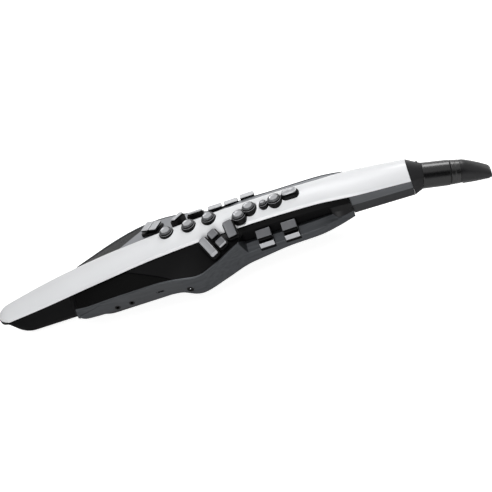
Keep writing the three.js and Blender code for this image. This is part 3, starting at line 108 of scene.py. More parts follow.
class Finish:
    """One material, whose nodes are made from their type, their settings and their sockets."""

    def __init__(self, name):
        self.material = bpy.data.materials.new(name)
        self.material.use_nodes = True
        self.tree = self.material.node_tree
        self.shader = self.tree.nodes["Principled BSDF"]
        self.place = self.node("ShaderNodeTexCoord", output="Object")

    def node(self, kind, settings=None, *values, output=None, **named):
        """A node of that type; its settings are set first, then its sockets in order or by name."""
        made = self.tree.nodes.new(kind)
        for key, value in (settings or {}).items():
            setattr(made, key, value)
        for key, value in [*enumerate(values), *[(k.replace("_", " "), v) for k, v in named.items()]]:
            self.put(made.inputs[key], value)
        return Signal(self, made.outputs[output or 0])

    def put(self, socket, value):
        """Links an output to a socket, or sets the socket to a number, a vector or a colour."""
        if isinstance(value, Signal):
            self.tree.links.new(value.socket, socket)
        else:
            socket.default_value = value

    def set(self, **sockets):
        """Sets sockets of the material's shader by name."""
        for key, value in sockets.items():
            self.put(self.shader.inputs[key.replace("_", " ")], value)

    def noise(self, scale, detail=2.0, stretch=(1, 1, 1)):
        """Noise between 0 and 1 on the object's own place, with that many grains a metre."""
        place = self.node("ShaderNodeMapping", None, Vector=self.place, Scale=stretch)
        return self.node("ShaderNodeTexNoise", None, Vector=place, Scale=scale, Detail=detail)

    def between(self, share, low, high):
        """Colour that turns from low to high with share."""
        made = self.tree.nodes.new("ShaderNodeMix")
        made.data_type = "RGBA"
        for socket, value in (("Factor", share), ("A", low), ("B", high)):
            self.put(made.inputs[socket], value)
        return Signal(self, made.outputs["Result"])

    def bump(self, height, depth):
        """Surface relief of that depth in metres, where height runs from 0 to 1."""
        return self.node("ShaderNodeBump", None, Height=height, Distance=depth)


def studio_sheet(name, corners, grain, low, high, roughness=0.9, shown=True):
    """Paper of a flat sheet between four corners, apart from the object, in a matt mottled grey."""
    mesh = bpy.data.meshes.new(name)
    mesh.from_pydata(corners, [], [(0, 1, 2, 3)])
    sheet = bpy.data.objects.new(name, mesh)
    bpy.context.scene.collection.objects.link(sheet)
    paper = Finish(f"{name}_paper")
    grey = paper.between(paper.noise(grain), (low, low, low, 1), (high, high, high, 1))
    paper.set(Base_Color=grey, Roughness=roughness, Specular_IOR_Level=0.0)
    mesh.materials.append(paper.material)
    sheet.visible_camera = shown
    return paper


def glow_to_camera(paper, mirror, strength):
    """White that only the camera, mirror images and see-through parts pick up; it lights nothing."""
    seen, mirrored, through = [
        paper.node("ShaderNodeLightPath", output=f"Is {kind} Ray")
        for kind in ("Camera", "Glossy", "Transmission")
    ]
    paper.set(Emission_Color=(1, 1, 1, 1), Emission_Strength=(seen + mirrored * mirror + through) * strength)


square = [(x * FLOOR_HALF, y * FLOOR_HALF, FLOOR_DOWN) for x, y in [(-1, -1), (1, -1), (1, 1), (-1, 1)]]
floor_paper = studio_sheet("floor", square, 300, 0.84, 0.86)
glow_to_camera(floor_paper, FLOOR_MIRROR, FLOOR_GLOW)
upright = [(x * FLOOR_HALF, BACKDROP_AT, z * BACKDROP_HEIGHT) for x, z in [(-1, 0), (1, 0), (1, 1), (-1, 1)]]
backdrop_paper = studio_sheet("backdrop", upright, 40, 0.5, 0.52)
glow_to_camera(backdrop_paper, 1, 1)
leaning = [(-CARD_HALF, *CARD_LOW), (CARD_HALF, *CARD_LOW), (CARD_HALF, *CARD_HIGH), (-CARD_HALF, *CARD_HIGH)]
studio_sheet("black_card", leaning, 200, 0.008, 0.012, 0.95, shown=False)

world = bpy.data.worlds.new("surround")
bpy.context.scene.world = world
world.use_nodes = True
sky = world.node_tree
path = sky.nodes.new("ShaderNodeLightPath")
shown = path.outputs["Is Camera Ray"]
for kind in ("Is Transmission Ray", "Is Glossy Ray"):
    either = sky.nodes.new("ShaderNodeMath")
    either.operation = "MAXIMUM"
    sky.links.new(shown, either.inputs[0])
    sky.links.new(path.outputs[kind], either.inputs[1])
    shown = either.outputs[0]
level = sky.nodes.new("ShaderNodeMath")
level.operation = "MULTIPLY_ADD"
level.inputs[1].default_value, level.inputs[2].default_value = 1 - SURROUND_LIGHT, SURROUND_LIGHT
sky.links.new(shown, level.inputs[0])
sky.links.new(level.outputs[0], sky.nodes["Background"].inputs["Strength"])
sky.nodes["Background"].inputs["Color"].default_value = (1, 1, 1, 1)

for name, (place, size, power) in LAMPS.items():
    lamp = bpy.data.objects.new(name, bpy.data.lights.new(name, "AREA"))
    lamp.data.energy, lamp.data.size = power, size
    lamp.location = place
    lamp.rotation_mode = "QUATERNION"
    lamp.rotation_quaternion = (Vector(place) - LAMP_AIM).to_track_quat("Z", "Y")
    bpy.context.scene.collection.objects.link(lamp)


# Lower case: one deep shell of textured black plastic, moulded from the blunt tip of the bell,
# through the wings that hold the loudspeakers, to the neck. The white cover drops onto its seat.
MM = 0.001
MIDDLE = 302.5  # distance from the tip of the bell to the frame's origin, mm
GAP, OVERRUN = 0.3, 5.0
CREST_AT, CREST_HEIGHT, BELL_ARCH, NECK_ARCH = 335.0, 60.7, 1600.0, 1200.0
COVER_LENGTH, COVER_HALF, LIP_INSET, LIP_RISE, CROWN = 517.0, 21.8, 1.7, 3.5, 12.0
NOSE_RUN, BLUNT, NOSE_RIM = 16.0, 0.98, 1.4
HALF_SHARES = np.array([
    [0, 0.66], [0.03, 0.72], [0.07, 0.83], [0.11, 0.92], [0.15, 0.975], [0.2, 1], [0.3, 1], [0.36, 0.95],
    [0.42, 0.925], [0.79, 0.925], [0.84, 1], [0.88, 1.05], [0.93, 1.01], [1, 0.91],
])
WING_START, WING_FRONT, WING_END = 104.0, 8.0, 446.0
SKIN, WALL, RIM, RIM_CROWN, BOW, LEAN, SEAT = 2.4, 3.0, 2.4, 0.2, 0.4, 1.4, 1.0
RIM_REACH = np.array([
    [0.2, 0.67], [0.232, 0.748], [0.29, 0.847], [0.35, 0.932], [0.406, 0.971], [0.484, 1], [0.503, 0.983],
    [0.522, 0.923], [0.551, 0.81], [0.58, 0.716], [0.609, 0.635], [0.638, 0.575], [0.7, 0.555], [0.8, 0.55],
    [0.836, 0.525], [0.868, 0.47],
])
RIM_HEIGHT = np.array([
    [0.2, 0.602], [0.232, 0.648], [0.29, 0.756], [0.35, 0.838], [0.406, 0.874], [0.435, 0.862],
    [0.464, 0.82], [0.493, 0.759], [0.513, 0.742], [0.551, 0.79], [0.58, 0.872], [0.609, 0.95],
    [0.638, 0.995], [0.7, 0.99], [0.8, 0.975], [0.868, 0.94],
])
FOOT_REACH = np.array([
    [0.2, 0.75], [0.3, 0.793], [0.383, 0.845], [0.447, 0.9], [0.484, 1], [0.507, 0.985], [0.557, 0.82],
    [0.604, 0.66], [0.64, 0.62], [0.71, 0.61], [0.78, 0.6], [0.822, 0.52], [0.868, 0.41],
])
FOOT_HEIGHT = np.array([
    [0.2, 0.9], [0.225, 0.81], [0.3, 0.81], [0.383, 0.85], [0.447, 0.87], [0.484, 0.7], [0.507, 0.66],
    [0.557, 0.71], [0.604, 0.77], [0.64, 0.82], [0.71, 0.98], [0.82, 1.02], [0.868, 1.1],
])
GREATEST = {"rim": (59.5, 57.3), "foot": (58.0, 26.0)}
WELL_START, WELL_RAMP, WELL_WALL, WELL_SHARE = 312.0, 7.0, 22.5, 0.35
SHELF, LEDGE, LEDGE_WALL = 42.0, 36.0, 2.7
STRIP_REACH, STRIP_DROP = 25.6, 3.6
KEEL_NOSE, KEEL_RUN, KEEL_CLIMB, KEEL_BELL, KEEL_HALF, KEEL_NECK = 10.0, 24.0, 23.0, 9.0, 24.0, 11.0
KEEL_WIDENS, KEEL_NARROWS, KEEL_RISES, KEEL_STEP, NECK_FLOOR = (96, 140), (262, 318), (314, 364), 18.0, 23.5
KEEL_CHAMFER, FLANK_BOW = 6.0, 1.2
FACE_SHARES, FLANK_SHARES = (0.25, 0.4, 0.6), (0.06, 0.25, 0.35, 0.45, 0.6, 0.85)


def follow(table, share):
    """Smooth curve through a table of (share, value): a cubic between each pair of rows, with the
    slope at a row taken from its two neighbours."""
    x, y = table.T
    share = np.clip(share, x[0], x[-1])
    last = len(x) - 1
    step = np.clip(np.searchsorted(x, share) - 1, 0, last - 1)
    rows = np.arange(len(x))
    before, after = np.maximum(rows - 1, 0), np.minimum(rows + 1, last)
    slope = (y[after] - y[before]) / (x[after] - x[before])
    run = x[step + 1] - x[step]
    t = (share - x[step]) / run
    ends = y[step] * (1 + 2 * t) * (1 - t) ** 2 + y[step + 1] * t * t * (3 - 2 * t)
    return ends + run * (slope[step] * t * (1 - t) ** 2 + slope[step + 1] * t * t * (t - 1))


def smooth_step(value, low, high):
    """Rise from 0 to 1 between low and high along the cubic 3t² − 2t³."""
    t = np.clip((value - low) / (high - low), 0, 1)
    return t * t * (3 - 2 * t)


def pair(across, up):
    """Points of an outline from their reach across and their height."""
    return np.stack(np.broadcast_arrays(across, up), -1).astype(float)


def mix(first, second, share):
    """Points at a share of the straight way from the first ones to the second."""
    return first + (second - first) * np.asarray(share)[..., None]


def bowed(first, second, share, bow):
    """Point at a share of the line between two, pushed out by half a sine wave."""
    point = mix(first, second, np.full(len(first), share))
    point[:, 0] += bow * math.sin(share * math.pi)
    return point


def edge_height(s):
    """Height of the cover's lower edge: a parabola each side of the crest."""
    return CREST_HEIGHT - (s - CREST_AT) ** 2 / (2 * np.where(s < CREST_AT, BELL_ARCH, NECK_ARCH))


def nose_share(s, run=NOSE_RUN):
    """Quarter-ellipse growth from the blunt tip of the bell, 1 past the run."""
    left = (1 - np.minimum(s / run, 1)) * BLUNT
    return np.sqrt(1 - left**2)


def cover_half(s):
    """Half width of the cover: its greatest half width times a share along it and the nose's."""
    return COVER_HALF * follow(HALF_SHARES, s / COVER_LENGTH) * nose_share(s)


def rim(s):
    """Reach and height of the wing's upper rim."""
    share = s / COVER_LENGTH
    return GREATEST["rim"][0] * follow(RIM_REACH, share), GREATEST["rim"][1] * follow(RIM_HEIGHT, share)


def foot(s):
    """Reach and height of the lower edge of the wing's wall."""
    share = s / COVER_LENGTH
    return GREATEST["foot"][0] * follow(FOOT_REACH, share), GREATEST["foot"][1] * follow(FOOT_HEIGHT, share)


def well_share(s, side):
    """1 beside the palm keys, on the left side only, and 0 on the wing, with a short ramp."""
    return smooth_step(s, WELL_START, WELL_START + WELL_RAMP) * (side < 0)


def skin_end(s, side):
    """Reach and height of the upper skin's outer end: the wing's rim, or the strip over the well."""
    strip = pair(STRIP_REACH, edge_height(s) - STRIP_DROP)
    return mix(pair(*rim(s)), strip, well_share(s, side))


def skin_top(s, side, reach):
    """Height of the upper skin: a straight line across from the cover's seat to its outer end."""
    end = skin_end(s, side)
    inner = cover_half(s) - SEAT
    edge = edge_height(s) - GAP
    return edge + (end[..., 1] - edge) * (reach - inner) / (end[..., 0] - inner)


def keel_height(s):
    """Height of the underside: a short climb to the nose, flat, then two smooth rises to the neck."""
    nose = KEEL_CLIMB * (1 - np.clip((s - KEEL_NOSE) / KEEL_RUN, 0, 1)) ** 2
    to_neck = (NECK_FLOOR - KEEL_STEP) * smooth_step(s, KEEL_RISES[1], WING_END)
    return nose + KEEL_STEP * smooth_step(s, *KEEL_RISES) + to_neck


def keel_half(s):
    """Half width of the flat underside: narrow at the bell, wide over the cells, narrow again."""
    wide = KEEL_BELL + (KEEL_HALF - KEEL_BELL) * smooth_step(s, *KEEL_WIDENS)
    return wide + (KEEL_NECK - wide) * smooth_step(s, *KEEL_NARROWS)


def case_side(s, side, inset):
    """One side of the case's outline, from the seat under the cover round the flank or the wing to
    the keel. Every corner is a mix of its place on the bell, on the wing and beside the well."""
    edge = edge_height(s)
    on_wing = smooth_step(s, WING_START - WING_FRONT, WING_START - 2 * GAP)
    in_well = well_share(s, side)
    tip, overhang = nose_share(s, KEEL_RUN), smooth_step(s, NOSE_RUN, 2 * NOSE_RUN)
    seat = cover_half(s) + NOSE_RIM * tip * (1 - overhang) - (SEAT + GAP * inset) * overhang
    half, floor_height = keel_half(s) * tip, keel_height(s)
    chamfer = np.minimum(KEEL_CHAMFER * tip, (edge - GAP - floor_height) / 2)
    under = inset * (SKIN + GAP)
    brow, low = pair(seat, edge - GAP), pair(half + chamfer, floor_height + chamfer)
    reach = rim(s)[0] - inset * RIM
    top = pair(reach - inset * GAP, skin_top(s, 1, reach))
    toe = pair(foot(s)[0] - inset * (WALL + GAP), foot(s)[1])
    facing = [bowed(top, toe, share, BOW) for share in FACE_SHARES]
    drop = inset * (SKIN + 2 * GAP) / (top[:, 1] - facing[0][:, 1])
    plain = [pair(seat, edge - GAP - under), mix(top, facing[0], drop), *facing, toe]
    lintel = SHELF - WALL - 2 * GAP
    shelf = WELL_WALL + (foot(s)[0] - WELL_WALL) * WELL_SHARE
    beside = [
        pair(seat, edge - GAP - under), pair(WELL_WALL, edge), pair(np.full_like(s, WELL_WALL), lintel),
        pair(shelf - GAP, lintel), pair(toe[:, 0], LEDGE - LEDGE_WALL - GAP), toe,
    ]
    wing = [mix(a, b, in_well) for a, b in zip(plain, beside)]
    wing[1][:, 1] = skin_top(s, side, wing[1][:, 0]) - under
    flank = [bowed(brow, low, share, FLANK_BOW) for share in FLANK_SHARES]
    walls = [mix(a, b, on_wing) for a, b in zip(flank, wing)]
    return np.stack([brow, *walls, low, pair(half, floor_height)], 1)


def on_stations(s, outline):
    """Rings in space: the outline at each station, with its place along the instrument."""
    return np.concatenate([np.broadcast_to(s[:, None, None], (*outline.shape[:2], 1)), outline], -1)


def both_sides(s, inset):
    """Closed rings of the case, from its left side's outline and its right side's backwards."""
    left, right = case_side(s, -1, inset), case_side(s, 1, inset)[:, ::-1]
    return on_stations(s, np.concatenate([left * (-1, 1), right], 1))


def in_space(points):
    """Points in mm along the instrument, across and up, as metres from the frame's origin."""
    return (np.asarray(points, float).reshape(-1, 3) - (MIDDLE, 0, 0)) * MM


def shade(mesh, sharp):
    """Round shading, but for edges whose faces meet at more than the sharp angle."""
    mesh.shade_smooth()
    mesh.set_sharp_from_angle(angle=math.radians(sharp))


def new_piece(name, points, faces, body, finish, *nodes, sharp=32.0, trim=None, dark=None, under=None):
    """Closed mesh facing out, shaded round where faces meet under the sharp angle. It rides on a
    body and stands for the nodes. A trim (point, direction, finish) takes an end off, and the
    faces that are numbered dark take a second finish."""
    mesh = bpy.data.meshes.new(name)
    mesh.from_pydata(in_space(points).tolist(), [], faces)
    mesh.materials.append(finish)
    if dark is not None:
        mesh.materials.append(under)
        mesh.polygons.foreach_set("material_index", np.isin(np.arange(len(faces)), dark).astype(np.int32))
    form = bmesh.new()
    form.from_mesh(mesh)
    bmesh.ops.remove_doubles(form, verts=form.verts, dist=1e-6)
    if trim:
        point, direction, cut_finish = trim
        parts = [*form.verts, *form.edges, *form.faces]
        bmesh.ops.bisect_plane(
            form, geom=parts, plane_co=in_space(point)[0], plane_no=direction, clear_outer=True,
        )
        filled = bmesh.ops.holes_fill(form, edges=[edge for edge in form.edges if edge.is_boundary])
        mesh.materials.append(cut_finish)
        for face in filled["faces"]:
            face.material_index = len(mesh.materials) - 1
    bmesh.ops.recalc_face_normals(form, faces=form.faces)
    form.to_mesh(mesh)
    form.free()
    shade(mesh, sharp)
    piece = bpy.data.objects.new(name, mesh)
    bpy.context.scene.collection.objects.link(piece)
    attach(piece, body)
    if nodes:
        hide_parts(*nodes)
    return piece


def grid_faces(rows, columns):
    """Quads between neighbouring rows of a grid of points, closed round each row."""
    index = np.arange(rows * columns).reshape(rows, columns)
    following = np.roll(index, -1, 1)
    return np.stack([index[:-1], following[:-1], following[1:], index[1:]], -1).reshape(-1, 4).tolist()


def lofted(name, rings, *rest, **options):
    """Closed body through rings of points, each ring a closed outline, with flat ends."""
    rings = np.asarray(rings, float)
    rows, columns = rings.shape[:2]
    ends = [list(range(columns)), list(range((rows - 1) * columns, rows * columns))]
    return new_piece(name, rings, grid_faces(rows, columns) + ends, *rest, **options)


TURN = np.linspace(0, 2 * math.pi, 72, endpoint=False)


def lathe(profile, centre=(0, 0, 0)):
    """Rings of a body turned about the vertical: each (radius, height) goes round the centre."""
    r, z = np.asarray(profile, float).T[:, :, None]
    x, y, height = centre
    return np.stack([x + r * np.cos(TURN), y + r * np.sin(TURN), height + z + 0 * TURN], -1)


def rod(radius, low, high):
    """Profile of a plain rod between two heights."""
    return [(0, low), (radius, low), (radius, high), (0, high)]


def along_y(rings, s, across, up):
    """Rings turned about the vertical, laid over so that their axis points across to the left."""
    x, y, z = np.moveaxis(rings, -1, 0)
    return np.stack([x + s, -z + across, y + up], -1)


def block(s, across, up):
    """Rings of a box between two places along, across and up."""
    corners = [(across[0], up[0]), (across[1], up[0]), (across[1], up[1]), (across[0], up[1])]
    return np.array([[(place, y, z) for y, z in corners] for place in s], float)


def widened(span, by):
    """A span that starts and ends a little further out, for the play round a piece."""
    return span[0] - by, span[1] + by


def cut_away(piece, rings):
    """The piece with every body that the rings describe taken out of it."""
    for shape in rings:
        tool = lofted("cutter", shape, "case", case_black)
        change = piece.modifiers.new("cut", "BOOLEAN")
        change.operation, change.solver, change.object = "DIFFERENCE", "EXACT", tool
        done = bpy.data.meshes.new_from_object(piece.evaluated_get(bpy.context.evaluated_depsgraph_get()))
        piece.modifiers.clear()
        piece.data = done
        bpy.data.objects.remove(tool)
    shade(piece.data, 32.0)


def tone(*levels):
    """Linear colour of one grey or three colour levels from 0 to 255."""
    levels = levels * 3 if len(levels) == 1 else levels
    return tuple(((v / 255 + 0.055) / 1.055) ** 2.4 for v in levels) + (1.0,)


def moulded(name, low, high, roughness, grain=0.00004, coat=0.0, metallic=0.0, fine=2600, shine=0.5):
    """Moulded or painted plastic: its tone drifts slowly between two, over a fine even grain."""
    made = Finish(name)
    drift = made.noise(14)
    cloud = made.noise(90, 3)
    made.set(
        Base_Color=made.between(drift * 0.7 + cloud * 0.3, tone(*low), tone(*high)),
        Roughness=cloud * 0.08 + (roughness - 0.04), Metallic=metallic, Coat_Weight=coat,
        Normal=made.bump(made.noise(fine, 3), grain), Specular_IOR_Level=shine,
    )
    return made.material


case_black = moulded("textured_black", (7, 7, 8), (11, 11, 12), 0.5, grain=0.00005, shine=0.05)
NOSE_SHARES = np.array([0, 0.02, 0.05, 0.09, 0.14, 0.2, 0.28, 0.38, 0.5, 0.64, 0.8, 1.0])
STATION, WELL_NEAR = 3.0, (306.0, 322.0)
well_run = np.linspace(*WELL_NEAR, 17)
wing_front = WING_START - WING_FRONT
bell = np.concatenate([
    NOSE_SHARES * NOSE_RUN, np.arange(NOSE_RUN + 2, wing_front, STATION),
    np.linspace(wing_front, WING_START - 2 * GAP, 7),
])
wings = np.concatenate([
    [WING_START - GAP], np.arange(WING_START, WELL_NEAR[0], STATION), well_run,
    np.arange(WELL_NEAR[1] + STATION, WING_END, STATION), [WING_END],
])
rings = np.concatenate([both_sides(bell, 0), both_sides(wings, 1)])
case = lofted("case_shell", rings, "case", case_black, "back_case")

# Openings of the case: the hook's channel, the bays of the cells and sockets, the seats of the lid,
# the strap plate, the side keys, the lever and the speakers, and the wings' round front corners.
CHANNEL, CEILING = (251.0, 298.0), 15.0
BAY_START, BAY_LENGTH, BAY_FLOOR, BAY_HALF, BAY_TOP = 143.0, 102.2, 2.7, 22.1, 17.3
LID, LID_HALF, LID_UP = (142.0, 251.0), 23.1, (0.3, 2.3)
HOOK_FOOT, HOOK_HALF, HOOK_UP, HOOK_TRAVEL = (261.0, 283.0), 9.0, (15.0, 17.4), 4.0
STRAP_PLATE, STRAP_HALF, STRAP_UP = (287.5, 295.5), 5.0, (15.0, 17.0)
SIDE_BLOCK, SIDE_ACROSS, SIDE_ROOM, SIDE_LOW, SIDE_TOP = (280.5, 340.3), (33.0, 39.6), 42.0, 44.0, 52.6
PALM_KEYS, PALM_LENGTH, PALM_PLAY = (342.5, 372.7), 16.6, 0.8
PALM_ROOM_END, PALM_ROOMS = -41.0, ((-26.2, 39.0), (-29.8, 31.2))
PORT_RUN, PORT_UP, PORT_DEEP = (205.5, 214.5), (33.4, 36.6), -44.5
JACK_BAY = ((146.0, 180.0), (-59.0, -41.5), (24.8, 33.0))
LEVER_AT, LEVER_UP, HUB_RADIUS, HUB_HALF, HUB_PLAY = 394.0, 2.0, 5.0, 6.0, 0.4
CORNER_RUN, CORNER_RISE, CORNER_STEPS, CORNER_INNER, CORNER_AHEAD = 10.0, 7.0, 12, 37.0, 3.0
SPEAKER_AT, SPEAKER_ACROSS, SPEAKER_DROP = 150.0, 33.0, 6.6
MAGNET, MAGNET_DEEP, MAGNET_TOP, SPEAKER_RIM, CONE_DEEP, SPEAKER_CLEAR = 6.0, 12.0, 8.0, 10.5, 2.5, 10.0
OUTSIDE, ABOVE = 70.0, 90.0


def corner_rise(s):
    """How far the wing's foot is rounded up near its front: a quarter ellipse."""
    share = np.clip((WING_START + CORNER_RUN - s) / CORNER_RUN, 0, 1)
    return CORNER_RISE * (1 - np.sqrt(1 - share**2))


notch = block(widened(SIDE_BLOCK, GAP), (SIDE_ACROSS[0] - GAP, SIDE_ROOM), (SIDE_LOW - GAP, ABOVE))
palm_pockets = [
    block(widened((s, s), PALM_LENGTH / 2 + PALM_PLAY), (PALM_ROOM_END, inner), (low, SHELF + PALM_PLAY))
    for s in PALM_KEYS for inner, low in PALM_ROOMS
]
port = block(PORT_RUN, (-OUTSIDE, PORT_DEEP), PORT_UP)
corner_run = np.linspace(WING_START + CORNER_RUN, WING_START, CORNER_STEPS)
foot_height = foot(corner_run)[1]
front = WING_START - CORNER_AHEAD
corner = [
    *zip(corner_run, foot_height + corner_rise(corner_run) - GAP),
    (front, foot_height[-1] + CORNER_RISE), (front, -OVERRUN), (WING_START + CORNER_RUN, -OVERRUN),
]
round_corners = [
    np.array([[(s, y, z) for s, z in corner] for y in reach])
    for reach in ((-OUTSIDE, -CORNER_INNER), (CORNER_INNER, OUTSIDE))
]
lever_height = float(keel_height(np.array([LEVER_AT]))[0]) + LEVER_UP
speaker_height = float(skin_top(np.array([SPEAKER_AT]), 1, np.array([SPEAKER_ACROSS]))[0]) - SPEAKER_DROP
speaker_room = [
    (0, -MAGNET_DEEP - 2 * GAP), (MAGNET + GAP, -MAGNET_DEEP - 2 * GAP), (MAGNET + GAP, -MAGNET_TOP),
    (SPEAKER_RIM + GAP, -CONE_DEEP - GAP), (SPEAKER_RIM + GAP, SPEAKER_CLEAR), (0, SPEAKER_CLEAR),
]
hub_room = rod(HUB_RADIUS + HUB_PLAY, -HUB_HALF - HUB_PLAY, HUB_HALF + HUB_PLAY)
recesses = [
    (CHANNEL, OUTSIDE, (-OVERRUN, CEILING)),
    ((BAY_START, BAY_START + BAY_LENGTH), BAY_HALF, (-OVERRUN, BAY_TOP)),
    (widened(LID, GAP), LID_HALF + GAP, (-OVERRUN, BAY_FLOOR - GAP)),
    (widened(HOOK_FOOT, HOOK_TRAVEL + GAP), HOOK_HALF + GAP, (CEILING - GAP, HOOK_UP[1] + GAP)),
    (widened(STRAP_PLATE, GAP), STRAP_HALF + GAP, (CEILING - OVERRUN, STRAP_UP[1] + GAP)),
]
cut_away(case, [
    *[block(run, (-half, half), up) for run, half, up in recesses],
    notch, *palm_pockets, port, block(*JACK_BAY), *round_corners,
    along_y(lathe(hub_room), LEVER_AT, 0, lever_height),
    *[lathe(speaker_room, (SPEAKER_AT, side * SPEAKER_ACROSS, speaker_height)) for side in (-1, 1)],
])


# Six dry cells in two rows under the battery cover. Each has a printed sleeve over a steel can,
# a bare crimped rim at both ends and a raised contact.
sleeve = moulded("cell_sleeve", (48, 58, 72), (58, 68, 84), 0.35, grain=0.000006, coat=0.3)
steel = moulded("polished_steel", (176, 178, 182), (196, 198, 202), 0.25, grain=0.000006, metallic=1.0)
CELL_RADIUS, CELL_LONG, CELL_PITCH, CELL_TIP, CELL_ROWS = 7.1, 49.5, 14.6, 50.5, 3
CELL_START, CELL_STEP = BAY_START + 0.4, CELL_LONG + 1.4
CAN = [
    (0, 0.3), (3, 0.3), (3, 0), (6.6, 0), (6.8, 0.5), (6.8, 49), (6.6, CELL_LONG), (2.6, CELL_LONG),
    (2.6, CELL_TIP), (0, CELL_TIP),
]
WRAP = [(6.8, 0.6), (CELL_RADIUS, 0.6), (CELL_RADIUS, 48.9), (6.8, 48.9), (6.8, 0.6)]


def rounded(profile, radius, steps=4):
    """The open profile with each inner corner replaced by a small arc of about that radius, and a
    point just before and after it that keeps the flats flat in the shading."""
    profile = np.asarray(profile, float)
    out = [profile[:1]]
    t = np.linspace(0, 1, steps + 1)[:, None]
    for before, corner, after in zip(profile, profile[1:], profile[2:]):
        sides = [(v, max(np.hypot(*v), 1e-9)) for v in (before - corner, after - corner)]
        start, end = [corner + v * min(radius / d, 0.42) for v, d in sides]
        held, kept = [corner + v * min(1.3 * radius / d, 0.48) for v, d in sides]
        out += [[held], (1 - t) ** 2 * start + 2 * t * (1 - t) * corner + t**2 * end, [kept]]
    return np.vstack([*out, profile[-1:]])


def along_x(rings, s, across, up):
    """Rings turned about the vertical, laid over so that their axis points to the mouthpiece."""
    x, y, z = np.moveaxis(rings, -1, 0)
    return np.stack([z + s, y + across, -x + up], -1)


def turned_piece(name, profile, place, body, finish, *nodes, lay=None, **options):
    """Closed body turned about an axis, its profile running from the axis round to the axis."""
    rings = lay(lathe(profile), *place) if lay else lathe(profile, place)
    return new_piece(name, rings, grid_faces(len(profile), len(TURN)), body, finish, *nodes, **options)


for number in range(2 * CELL_ROWS):
    end, row = divmod(number, CELL_ROWS)
    place = (CELL_START + end * CELL_STEP, (row - 1) * CELL_PITCH, BAY_FLOOR + CELL_RADIUS)
    name = f"cell_{number + 1}"
    turned_piece(f"{name}_can", rounded(CAN, 0.3), place, "case", steel, name, lay=along_x)
    turned_piece(f"{name}_sleeve", rounded(WRAP, 0.15), place, "case", sleeve, lay=along_x)


# Works inside: the green switch board under the finger keys with a dome for each stem, and a
# paper-coned loudspeaker under each grille, in a pressed steel basket with a round magnet.
board_green = Finish("board_green")
tracks = board_green.noise(900, 0).maths("GREATER_THAN", 0.56)
board_green.set(
    Base_Color=board_green.between(tracks, tone(24, 84, 52), tone(52, 116, 74)), Roughness=0.4,
    Normal=board_green.bump(tracks, 0.00003),
)
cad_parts["circuit_board"].data.materials.clear()
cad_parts["circuit_board"].data.materials.append(board_green.material)
cone_paper = moulded("cone_paper", (40, 40, 42), (56, 56, 58), 0.85, grain=0.00006, fine=1800)
basket = moulded("basket_steel", (120, 122, 126), (140, 142, 146), 0.4, metallic=1.0)
CONE_RIM, CONE_SEAT, CONE_BOW, CAP_RADIUS, CAP_RISE = 9.7, -0.4, 0.8, 3.4, 1.1
ROLL_WIDTH, ROLL_RISE = 1.6, 0.7
BASKET = [
    (0, -MAGNET_DEEP), (MAGNET, -MAGNET_DEEP), (MAGNET, -MAGNET_TOP), (7, -7.8), (SPEAKER_RIM, -CONE_DEEP),
    (SPEAKER_RIM, 0), (CONE_RIM, 0), (CONE_RIM, -0.6), (6, -7), (0, -7),
]
CONE_BACK = [(0, -6), (5, -5), (CONE_RIM, -1)]
t = np.linspace(0, 1, 10)
surround = np.column_stack([CONE_RIM - ROLL_WIDTH * t, CONE_SEAT + ROLL_RISE * np.sin(t * math.pi)])
from_roll = CONE_RIM - ROLL_WIDTH
cone = np.column_stack([
    from_roll - (from_roll - CAP_RADIUS) * t, CONE_SEAT - (CONE_DEEP + CONE_SEAT) * t**CONE_BOW,
])
cap = np.column_stack([CAP_RADIUS * (1 - t), -CONE_DEEP + CAP_RISE * np.sin(t * math.pi / 2)])
cone_profile = np.vstack([CONE_BACK, surround, cone[1:], cap[1:]])
for side, name in [(-1, "left_speaker"), (1, "right_speaker")]:
    place = (SPEAKER_AT, side * SPEAKER_ACROSS, speaker_height)
    turned_piece(f"{name}_basket", rounded(BASKET, 0.3), place, "case", basket, name)
    turned_piece(f"{name}_cone", cone_profile, place, "case", cone_paper)


# Decks: the upper skins of the two wings, from the grilles to the neck. The left one is smooth
# black and narrows to a strip over the palm keys; the right one is metallic grey, painted lighter
# than the left as a painted reflection of the light on the far side.
GRILLE_LINES = {-1: (175.0, 220.0), 1: (158.0, 200.0)}
PARTED_AT, DECK_ROWS, DECK_COLUMNS, FIRST_REACH, ROUNDS = (COVER_HALF, 50.0), 150, 15, 30.0, 8
deck_black = moulded("deck_black", (6, 6, 7), (9, 9, 10), 0.45, grain=0.00001, shine=0.05)
# Painted reflection: the far wing's grey stands in for light it reflects, where the near wing is black.
far_wing_painted_reflection = moulded(
    "far_wing_painted_reflection_grey", (126, 128, 132), (140, 142, 146), 0.36, grain=0.000012, metallic=0.75, coat=0.25,
    fine=5200,
)


def parting(side, shift):
    """Slanting line across a wing: place along it as a function of the reach, moved by a shift."""
    inner, outer = GRILLE_LINES[side]
    slope = (outer - inner) / (PARTED_AT[1] - PARTED_AT[0])
    return lambda reach: inner + slope * (reach - PARTED_AT[0]) + shift


def straight(place):
    """Line straight across a wing at that place."""
    return lambda reach: np.full_like(reach, place)


def skin_rings(side, start, end, drop, rows, columns=DECK_COLUMNS):
    """Rings of a wing's skin between two lines across it. A point lies at a share of the way from
    one line to the other, found in rounds, because where the lines are depends on the reach."""
    along = np.linspace(0, 1, rows)[:, None]
    across = np.concatenate([np.linspace(0, 1, columns), np.linspace(1, 0, columns)])
    under = np.arange(2 * columns) >= columns
    reach = np.full((rows, 2 * columns), FIRST_REACH)
    for _ in range(ROUNDS):
        s = start(reach) * (1 - along) + end(reach) * along
        on_wing = 1 - well_share(s, side)
        inner = cover_half(s) - SEAT
        outer = skin_end(s, side)[..., 0] - (RIM + GAP) * on_wing - LEAN * on_wing * under
        reach = inner + (outer - inner) * across
    height = skin_top(s, side, reach) - np.where(under, SKIN, drop)
    return np.stack([s, side * reach, height], -1)


